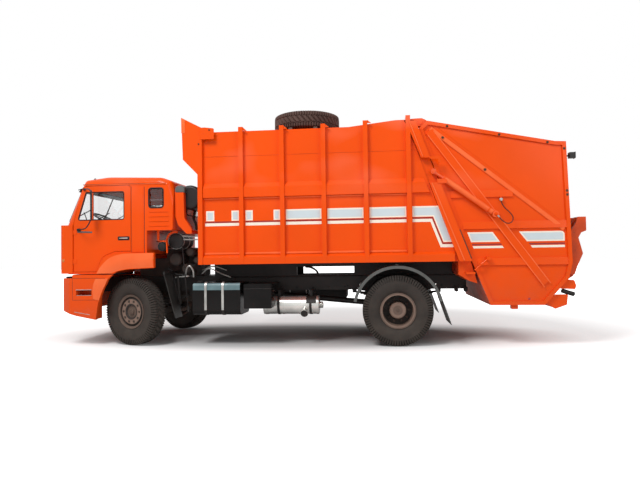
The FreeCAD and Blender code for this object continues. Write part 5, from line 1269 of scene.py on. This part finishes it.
# ---------------------------------------------------------------- behind the cab and along the frame
class TRUCK_OT_behind_cab(bpy.types.Operator):
    """Intake elbow, canister strap and bracket, filler cap, coolant pipes, hoses and stays behind the cab"""
    bl_idname = "truck.behind_cab"
    bl_label = "Behind the cab"

    def execute(self, context):
        elbow = rounded_slab([(-2.18, 2.455, 0.03), (-2.18, 2.574, 0.06), (-2.02, 2.574, 0.05),
                              (-2.02, 2.455, 0.02)], -1.098, -0.99, "y", 0.012)
        put("intake_elbow", elbow, "guard", "chassis")
        can = (-2.23, 0, 1.68)
        rings = [hoop(y, 0.012, 0.1285, 0.133, can, "y", 48) for y in (-0.89, -0.62)]
        cap = turned([(-0.936, 0.001), (-0.936, 0.03), (-0.932, 0.05), (-0.9315, 0.105), (-0.93, 0.11),
                      (-0.93, 0.001)], can, "y", 40)
        put("canister_straps", join(*rings), "zinc", "chassis")
        put("canister_cap", cap, "plastic", "chassis")
        turn = np.radians(row_of(75, 215, 14))
        bow = [(can[0] + r * math.cos(t), can[2] + r * math.sin(t)) for r, way in ((0.165, 1), (0.132, -1))
               for t in turn[::way]]
        upright = rounded([(-2.498, 1.7, 0.01), (-2.498, 1.86, 0.01), (-2.462, 1.86, 0.01),
                           (-2.462, 1.7, 0.01)])
        filler = rounded([(-2.5, 1.69, 0.02), (-2.33, 1.69, 0.05), (-2.318, 1.48, 0.01),
                          (-2.338, 1.48, 0.005), (-2.344, 1.668, 0.02), (-2.5, 1.668, 0.005)])
        put("canister_bracket", join(slab(np.array(bow), -0.96, -0.935), slab(upright, -1.06, -1.04),
                                     slab(filler, -1.07, -1.042)), "orange", "chassis")
        cap = turned([(-1.062, 0.001), (-1.062, 0.05), (-1.058, 0.06), (-1.041, 0.062), (-1.041, 0.001)],
                     (-2.42, 0, 1.59), "y", 12)
        put("filler_cap", cap, "rubber", "chassis")
        pipes = [smooth_tube([(-2.13, -0.905, z + 0.008), (-2.0, -0.91, z), (-1.82, -0.905, z)], 0.011, 4)
                 for z in (1.755, 1.7)]
        loop = smooth_tube([(-2.12, -0.78, 1.13), (-2.085, -0.8, 1.24), (-2.035, -0.8, 1.26),
                            (-1.99, -0.79, 1.18), (-1.985, -0.78, 1.08)], 0.015, 6)
        rod = tube([(-2.33, -0.7, 1.075), (-2.08, -0.72, 1.095)], 0.012)
        hoses = [smooth_tube([(-1.9, -0.6, 1.13), (-1.76, -0.64, 1.215), (-1.56, -0.64, 1.13),
                              (-1.4, -0.6, 1.06)], 0.011, 6),
                 smooth_tube([(-1.9, -0.56, 1.19), (-1.7, -0.6, 1.25), (-1.48, -0.56, 1.18)], 0.009, 6)]
        put("pale_pipes", join(loop, rod, *pipes, *hoses), "zinc", "chassis")
        reds = [smooth_tube([(-1.96, -0.76, 2.19), (-1.975, -0.78, 2.06), (-1.935, -0.79, 1.96),
                             (-1.925, -0.78, 1.86)], 0.022, 6),
                smooth_tube([(-1.88, -0.7, 2.19), (-1.9, -0.73, 2.05), (-1.87, -0.74, 1.88)], 0.016, 6)]
        put("hydraulic_hoses", join(*reds), "hose", "chassis")
        stays = [tube(np.array(line), 0.02) for line in (
            [(-2.5, -0.56, 1.25), (-2.41, -0.56, 1.06), (-2.29, -0.56, 0.52)],
            [(-2.235, -0.84, 1.1), (-2.19, -0.84, 0.64)],
            [(-2.45, -0.7, 1.23), (-2.3, -0.7, 1.12), (-1.98, -0.7, 1.08)]
        )]
        bulb = drum((-2.037, -0.9, 0.6), (-2.034, -0.9, 0.51), 0.022, 0.008, 16)
        put("dark_stays", join(bulb, *stays), "black", "chassis")
        drums = [drum((x, y0, z), (x, y1, z), r, 0.02, 24) for x, y0, y1, z, r in (
            (-2.3, -0.78, -0.42, 1.38, 0.11), (-2.05, -0.76, -0.42, 1.5, 0.075),
            (-2.12, -0.74, -0.42, 1.22, 0.085), (-1.96, -0.7, -0.42, 1.36, 0.06)
        )]
        put("engine_auxiliaries", join(*drums), "cast", "chassis")
        return {"FINISHED"}


class TRUCK_OT_hangers(bpy.types.Operator):
    """Trim of the fuel tank, battery box, silencer and air tanks, with a painted reflection on the tank's
    upper corner
    """
    bl_idname = "truck.hangers"
    bl_label = "Tank and silencer trim"

    def execute(self, context):
        bolt = context.scene.truck_sizes.bolt
        section = [(-1.1868, 0.57), (-1.1868, 0.89), (-1.1868, 0.95), (-1.168, 0.99), (-1.128, 1.0078)]
        bands = [self.band(smooth(section, 5), x) for x in (-1.655, -1.378)]
        put("tank_bands", join(*bands), "zinc", "chassis")
        # a thin pale strip on the tank's rounded upper corner: a painted reflection
        turn = np.radians(row_of(180, 118, 12))
        corner = (-1.12, 0.94)
        painted_sheen = np.concatenate([[(-1.1815, 0.885)], arc(corner, 0.0615, turn),
                                arc(corner, 0.0604, turn)[::-1], [(-1.1804, 0.885)]])
        put("tank_painted_sheen_strip", slab(painted_sheen, -1.862, -1.103, "x", 0.0003), "tank_band", "chassis")
        cap = turned([(1.001, 0.001), (1.001, 0.042), (1.022, 0.042), (1.026, 0.034), (1.026, 0.001)],
                     (-1.78, -1.06, 0), "z", 20)
        put("tank_cap", cap, "plastic", "chassis")
        lid = bead(box_outline(-1.044, -0.596, -1.184, -0.956, 0.014), 0.9, "z", 0.0035)
        put("box_lid", lid, "black", "chassis")
        self.silencer()
        ends = [hoop(x, 0.006, 0.1405, 0.1435, (0, 0.8, 0.76), "x", 40) for x0 in (-1.75, -0.95)
                for x in (x0 + 0.04, x0 + 0.35, x0 + 0.66)]
        put("air_tank_bands", join(*ends), "zinc", "chassis")
        studs = many(stud(bolt, 0.016), [(x, -RAIL_FACE, z) for x in row_of(-1.64, 2.38, 16)
                                         for z in (0.88, 1.04)], (0, -1, 0))
        put("frame_bolts", both(studs), "black", "chassis")
        return {"FINISHED"}

    def band(self, section, x):
        """A flat strap that follows the tank's front face and upper corner."""
        line = np.asarray(section)
        ahead = unit(np.gradient(line, axis=0))
        out = np.stack([-ahead[:, 1], ahead[:, 0]], 1)
        return slab(np.concatenate([line, (line + 0.005 * out)[::-1]]), x - 0.019, x + 0.019, "x", 0.001)

    def silencer(self):
        """Pressed bands, ribbed end, dark shield, a dark disc painted as the shade inside the outlet's mouth,
        and the mouth's lip.
        """
        axis = (0, -0.77, 0.61)
        places = ((-0.74, 0.02), (-0.47, 0.014), (-0.2, 0.014), (-0.02, 0.024), (0.085, 0.016))
        bands = [hoop(x, half, 0.1455, 0.15, axis, "x", 56) for x, half in places]
        ribs = [turned([(x - 0.006, 0.0505), (x, 0.058), (x + 0.006, 0.0505)], axis, "x", 40, True)
                for x in (0.126, 0.142, 0.158)]
        end = turned([(0.1705, 0.001), (0.1705, 0.03), (0.176, 0.03), (0.176, 0.001)], axis, "x", 20)
        put("silencer_bands", join(end, *bands, *ribs), "silver", "chassis")
        turn = np.radians(row_of(60, 165, 28))
        outline = np.concatenate([arc(axis[1:], 0.153, turn), arc(axis[1:], 0.1512, turn)[::-1]])
        shell = slab(outline, -0.09, 0.07, "x", 0.0004)
        put("silencer_shield", shell, "black", "chassis")
        # a thin black disc across the outlet: painted shade in the mouth of the pipe
        way = unit((0.0, -0.93, -0.36))
        mouth = np.array([-0.1, -0.8, 0.6]) + way * 0.28
        path = np.stack([mouth - way * 0.004, mouth + way * 0.0015])
        hole = drum(path[0], path[1], 0.052, 0.0005, 32)
        put("exhaust_mouth_shade", hole, "rubber", "chassis")
        ring = many(turned([(-0.06, 0.0385), (-0.06, 0.0415), (-0.012, 0.06), (0.003, 0.062),
                            (0.003, 0.057), (-0.012, 0.054)], (0, 0, 0), "z", 32, True), [mouth], way)
        put("exhaust_lip", ring, "silver", "chassis")


class TRUCK_OT_running_gear(bpy.types.Operator):
    """Spring clips, shock absorbers, mudguard lips and bolts, and the frame's hoses and lugs"""
    bl_idname = "truck.running_gear"
    bl_label = "Springs and mudguards"

    def execute(self, context):
        hook = ((-0.48, -0.105), (-0.48, 0.06), (-0.43, 0.085), (-0.38, 0.06), (-0.38, -0.105))
        clips = [smooth_tube([(x + dx, y, SPRING_Z + up) for y, up in hook], 0.01, 4)
                 for x in (FRONT_X, REAR_X) for dx in (-0.085, 0.085)]
        put("spring_clips", both(*clips), "black", "chassis")
        shocks = [join(drum((-3.06, -0.56, 0.64), (-3.075, -0.56, 0.86), 0.032, 0.004, 20),
                       drum((-3.075, -0.56, 0.86), (-3.085, -0.56, 1.05), 0.04, 0.004, 20),
                       block((-3.12, -0.57, 1.01), (-3.05, -0.434, 1.04)))]
        put("shock_absorbers", both(*shocks), "black", "chassis")
        turn = np.radians(row_of(12.5, 167.5, 40))
        axle = (REAR_X, WHEEL_Z)
        lip = np.concatenate([arc(axle, 0.6925, turn), arc(axle, 0.646, turn)[::-1]])
        put("mudguard_lips", both(slab(lip, -1.203, -1.199, "y", 0.001)), "guard", "chassis")
        spots = arc(axle, 0.7, np.radians((35, 90, 145)))
        heads = [many(nut(0.012, 0.008), [(x, y, z) for y in (-1.16, -0.65)], (x - REAR_X, 0, z - WHEEL_Z))
                 for x, z in spots]
        put("mudguard_bolts", both(*heads), "zinc", "chassis")
        hose = smooth_tube([(-0.15, -0.462, 1.222), (-0.06, -0.475, 1.212), (0.03, -0.475, 1.16),
                            (0.075, -0.47, 1.08)], 0.018, 7)
        pipe = tube([(-1.6, -0.446, 1.06), (2.35, -0.446, 1.06)], 0.009)
        clamps = [block((x - 0.012, -0.458, 1.048), (x + 0.012, -RAIL_FACE, 1.072), 0.001)
                  for x in row_of(-1.4, 2.2, 9)]
        put("frame_hoses", join(hose, both(pipe, *clamps)), "rubber", "chassis")
        lugs = [drum((x, -0.44, 0.815), (x, -0.53, 0.815), 0.03, 0.005, 20) for x in (2.33, 2.48)]
        feet = [block((x - 0.03, -0.52, 0.835), (x + 0.03, -0.434, 0.86)) for x in (2.33, 2.48)]
        put("frame_lugs", both(*lugs, *feet), "black", "chassis")
        return {"FINISHED"}


# ---------------------------------------------------------------- waste body
SEAM_Z = 3.0                         # height of the weld between the body's upper and lower side sheets


def post_edge(z):
    """X of the slanted rear post's rear edge at a height."""
    return 1.7 + (3.4 - z) * 0.3697


class TRUCK_OT_body_details(bpy.types.Operator):
    """Weld seams, gussets, folds and corner brackets of the waste body"""
    bl_idname = "truck.body_details"
    bl_label = "Body details"

    def execute(self, context):
        skin = -BODY_SKIN
        seams, folds, gussets = [], [], []
        spans = [(-1.672, RIBS[0])] + [(x + RIB_WIDTH, x + RIB_STEP) for x in RIBS[:4]]
        for x0, x1 in spans:
            seams.append(slab(box_outline(x0 + 0.006, x1 - 0.006, SEAM_Z - 0.003, SEAM_Z + 0.003),
                              skin - 0.003, skin + 0.001))
            folds.append(rounded_slab([(x0 + 0.004, 1.442), (x1 - 0.004, 1.442), (x1 - 0.004, 1.476, 0.01),
                                       (x0 + 0.004, 1.476, 0.01)], skin - 0.014, skin + 0.001, "y", 0.008))
            folds.append(rounded_slab([(x0 + 0.004, 2.318), (x1 - 0.004, 2.318), (x1 - 0.004, 2.336),
                                       (x0 + 0.004, 2.336)], skin - 0.022, skin + 0.001, "y", 0.004))
        seams.append(slab([(1.6, 2.997), (post_edge(3.0) - 0.15, 2.997), (post_edge(3.0) - 0.15, 3.003),
                           (1.6, 3.003)], skin - 0.003, skin + 0.001))
        # the seams get the darker worn orange: a painted shadow line along the weld
        put("body_seams", both(*seams), "orange_worn_and_seam_shade", "chassis")
        # the folds get the paler orange of painted highlights
        put("body_folds", both(*folds), "orange_painted_highlight", "chassis")
        for x in RIBS[:4]:
            roof = 3.392 if x < 0.6 else 3.4
            rise = 0.0 if x < 0.6 else (x + 0.07 - 0.65) * 0.108
            gussets.append(slab([(x + RIB_WIDTH, roof + rise), (x + RIB_WIDTH, roof + rise + 0.05),
                                 (x + RIB_WIDTH + 0.06, roof + rise)], -1.24, -1.232, "y", 0.001))
        bracket = rounded_slab([(-1.7, 3.27, 0.01), (-1.7, 3.46, 0.02), (-1.62, 3.46, 0.02),
                                (-1.474, 3.44, 0.02), (-1.474, 3.27, 0.01)], -1.258, -POST_FACE)
        put("body_gussets", both(bracket, *gussets), "orange", "chassis")
        heads = many(nut(0.013, 0.009), [(-1.55, -1.258, 3.415), (-1.725, -POST_FACE, 3.2)], (0, -1, 0))
        put("body_bolts", both(heads), "rust", "chassis")
        edge = slab([(-2.004, 3.38), (-2.008, 3.626), (-1.946, 3.596), (-1.946, 3.38)], -1.257, -POST_FACE)
        rim = bead(rounded([(-1.2495, 2.735), (1.2495, 2.735), (1.2495, 3.38), (-1.2495, 3.38)]),
                   -1.752, "x", 0.004)
        # the header's edges get the paler orange of painted highlights
        put("header_edges", both(edge), "orange_painted_highlight", "chassis")
        put("header_weld", rim, "orange", "chassis")
        self.posts()
        return {"FINISHED"}

    def posts(self):
        """Edge folds on the slanted rear posts, the lift eye's bracket and the slit in front of the post."""
        low = [(post_edge(z) - d, z) for z, d in ((2.48, 0.15), (1.3, 0.128))]
        high = [(post_edge(z) - d, z) for z, d in ((3.43, 0.118), (2.88, 0.128))]
        folds = []
        for ((x0, z0), (x1, z1)), wide in ((low, 0.02), (high, 0.018)):
            folds.append(slab([(x0, z0), (x0 + wide, z0), (x1 + wide, z1), (x1, z1)], -1.262, -1.249,
                              "y", 0.004))
        jaw = rounded([(1.855, 2.88, 0.01), (2.03, 2.88, 0.02), (2.04, 2.79, 0.02), (2.005, 2.775, 0.01),
                       (1.99, 2.84, 0.02), (1.89, 2.84, 0.01)])
        shelf = rounded([(1.985, 2.47, 0.01), (2.13, 2.47, 0.02), (2.12, 2.53, 0.02), (1.975, 2.54, 0.01)])
        # the post folds get the paler orange of painted highlights
        put("post_folds", both(*folds), "orange_painted_highlight", "chassis")
        put("pin_bracket", both(slab(jaw, -1.262, -1.246), slab(shelf, -1.262, -1.246)), "orange", "chassis")
        slit = slab([(post_edge(1.765) - 0.012, 1.765), (post_edge(1.765) + 0.004, 1.765),
                     (post_edge(1.33) + 0.004, 1.33), (post_edge(1.33) - 0.012, 1.33)], -1.2515, -POST_FACE,
                    "y", 0.0003)
        put("post_slit", both(slit), "rust", "chassis")


class TRUCK_OT_gate_details(bpy.types.Operator):
    """Flanges, bolts, hinges, clamps, lamps, lips and plate of the tailgate"""
    bl_idname = "truck.gate_details"
    bl_label = "Tailgate details"

    def execute(self, context):
        skin = -GATE_SKIN
        line = np.array([(1.9, 3.33), (3.84, 1.749)])
        triangle = slab([(2.01, 3.348), (3.825, 2.99), (3.855, 1.83)], skin - 0.005,
                        skin - CLEAR, "y", 0.002)
        flange = slab(strip(line, -0.034, 0.034), skin - 0.024, skin - CLEAR, "y", 0.01)
        beam = np.array([(1.905, 3.262), (3.575, 0.917)])
        lips = [slab(strip(beam, s * 0.062, s * 0.046), -LIP_FACE, -1.155, "y", 0.002) for s in (-1, 1)]
        folds = []
        for low, high, end in ((1.22, 1.335, 3.89), (1.77, 1.885, 3.88), (2.25, 2.36, 2.585)):
            section = [(-1.1452, low), (-FOLD_LOW, low + 0.004), (-FOLD_HIGH, high), (-1.1445, high)]
            folds.append(slab(section, post_edge(low) + 0.06, end, "x", 0.0005))
        step = slab([(-1.1275, 2.25), (-FOLD_LOW, 2.254), (-FOLD_HIGH, 2.36), (-1.1275, 2.362)], 2.58,
                    3.105, "x", 0.0005)
        put("gate_panels", both(triangle, step, *folds), "orange", "tailgate")
        # the flange and lips get the paler orange of painted highlights
        put("gate_flanges", both(flange, *lips), "orange_painted_highlight", "tailgate")
        self.marks()
        self.hinges()
        self.clamps()
        self.rear()
        return {"FINISHED"}

    def marks(self):
        """Bolts with rust round them on the flanges, and a round red mark near the lower edge."""
        spots = [(2.15, 3.362), (2.92, 3.205), (3.62, 3.063), (3.86, 2.96), (3.884, 2.33), (2.08, 3.19),
                 (2.7, 2.68), (3.888, 2.27)]
        at = [(x, -LIP_FACE, z) for x, z in spots]
        put("gate_bolts", both(many(nut(0.012, 0.007), at, (0, -1, 0))), "rust", "tailgate")
        beside = np.add(at, (0.004, 0.0003, -0.008))
        stains = many(nut(0.02, 0.0012, 14), beside, (0, -1, 0))
        put("gate_stains", both(stains), "rust", "tailgate")
        hole = many(nut(0.018, 0.002, 24), [(3.31, -1.128, 0.713)], (0, -1, 0))
        put("gate_hole", both(hole), "red", "tailgate")

    def hinges(self):
        """A plate beside each top hinge."""
        plate = slab(box_outline(1.56, 1.67, 3.43, 3.486, 0.02), -1.0, -0.94)
        put("hinge_plates", both(plate), "orange", "chassis")

    def clamps(self):
        """Crimped ends of the lift cylinders' hoses and collars on the barrels."""
        fitting = tube([(2.93, -1.166, 2.226), (2.93, -1.166, 2.19)], 0.013, 14)
        ball = drum((2.93, -1.128, 2.214), (2.93, -1.18, 2.214), 0.024, 0.006, 20)
        low = tube([(2.876, -1.258, 1.942), (2.852, -1.263, 1.97)], 0.0125, 14)
        put("hose_fittings", both(fitting, ball, low), "zinc", "tailgate")
        foot = np.array([LIFT_FOOT[0], -LIFT_Y, LIFT_FOOT[1]])
        way = unit(np.array([LIFT_EYE[0], -LIFT_Y, LIFT_EYE[1]]) - foot)
        collars = []
        for along, half in ((0.935, 0.018), (0.12, 0.012)):
            collar = hoop(0.0, half, 0.0402, 0.0428, (0, 0, 0), "z", 32)
            collars.append(many(collar, [foot + way * along], way))
        for side in ("left", "right"):
            put(f"lift_collars_{side}", on_side(side, *collars), "orange", f"lift_barrel_{side}")

    def rear(self):
        """Lamp lenses, the work lamp's glass and guard, lower lips, buffers and a bare number plate."""
        for kind, heights in (("amber", (1.79,)), ("red", (1.71, 1.63))):
            lenses = [slab(box_outline(-1.1, -1.03, z - 0.036, z + 0.036, 0.012), 3.9352, 3.94, "x", 0.002)
                      for z in heights]
            put(f"tail_lens_{kind}", both(*lenses), kind, "tailgate")
        glass = slab(box_outline(-1.064, -0.986, 2.832, 2.903, 0.012), 4.0502, 4.054, "x", 0.002)
        put("work_lamp_glass", glass, "clear", "tailgate")
        guard = bead(box_outline(-1.074, -0.976, 2.821, 2.914, 0.012), 4.052, "x", 0.004)
        put("work_lamp_guard", guard, "plastic", "tailgate")
        foot = rounded_slab([(3.05, 0.628, 0.004), (3.05, 0.56, 0.012), (3.15, 0.56, 0.012),
                             (3.15, 0.628, 0.004)], -1.118, -1.04)
        lip = rounded_slab([(3.56, 0.64, 0.01), (3.69, 0.56, 0.02), (3.86, 0.62, 0.02), (3.88, 0.775, 0.02),
                            (3.7, 0.775, 0.02), (3.56, 0.67, 0.01)], -1.11, -1.085)
        ear = rounded_slab([(3.76, 0.86, 0.01), (3.985, 0.85, 0.02), (4.0, 0.905, 0.02),
                            (3.975, 0.985, 0.02), (3.865, 1.0, 0.01)], -1.11, -1.085)
        lip_inner = rounded_slab([(3.64, 0.6, 0.01), (3.7, 0.566, 0.01), (3.84, 0.622, 0.01),
                                  (3.8, 0.64, 0.01)], -1.085, 1.085)
        put("gate_feet", join(both(foot, lip, ear), lip_inner), "orange", "tailgate")
        buffers = drum((3.8, -1.06, 0.83), (3.985, -1.06, 0.77), 0.034, 0.008, 20)
        put("gate_buffers", both(buffers), "rubber", "tailgate")
        plate = slab(box_outline(-0.262, 0.262, 0.8, 0.912, 0.01), 3.905, 3.91, "x", 0.001)
        put("rear_plate", plate, "cream", "tailgate")


# ---------------------------------------------------------------- panel, registration and the run
class TRUCK_PT_panel(bpy.types.Panel):
    """Buttons that build the truck's groups of pieces, and its sizes and colours"""
    bl_idname = "TRUCK_PT_panel"
    bl_label = "Garbage Truck"
    bl_space_type = "VIEW_3D"
    bl_region_type = "UI"
    bl_category = "Truck"

    def draw(self, context):
        for maker in MAKERS:
            self.layout.operator(maker.bl_idname)
        for group in (context.scene.truck_sizes, context.scene.truck_colours):
            for key in group.bl_rna.properties.keys():
                if key not in ("rna_type", "name"):
                    self.layout.prop(group, key)


MAKERS = (TRUCK_OT_finishes, TRUCK_OT_stage, TRUCK_OT_tyres, TRUCK_OT_rims, TRUCK_OT_stripes,
          TRUCK_OT_cab_seals, TRUCK_OT_cab_details, TRUCK_OT_mirrors, TRUCK_OT_bumper, TRUCK_OT_seats,
          TRUCK_OT_behind_cab, TRUCK_OT_hangers, TRUCK_OT_running_gear, TRUCK_OT_body_details,
          TRUCK_OT_gate_details)
CLASSES = (TruckColours, TruckSizes, *MAKERS, TRUCK_PT_panel)


def register():
    for kind in CLASSES:
        bpy.utils.register_class(kind)
    bpy.types.Scene.truck_colours = PointerProperty(type=TruckColours)
    bpy.types.Scene.truck_sizes = PointerProperty(type=TruckSizes)


def unregister():
    del bpy.types.Scene.truck_sizes
    del bpy.types.Scene.truck_colours
    for kind in reversed(CLASSES):
        bpy.utils.unregister_class(kind)


def main():
    register()
    for maker in MAKERS:
        group, name = maker.bl_idname.split(".")
        getattr(getattr(bpy.ops, group), name)()


if __name__ == "__main__":
    main()
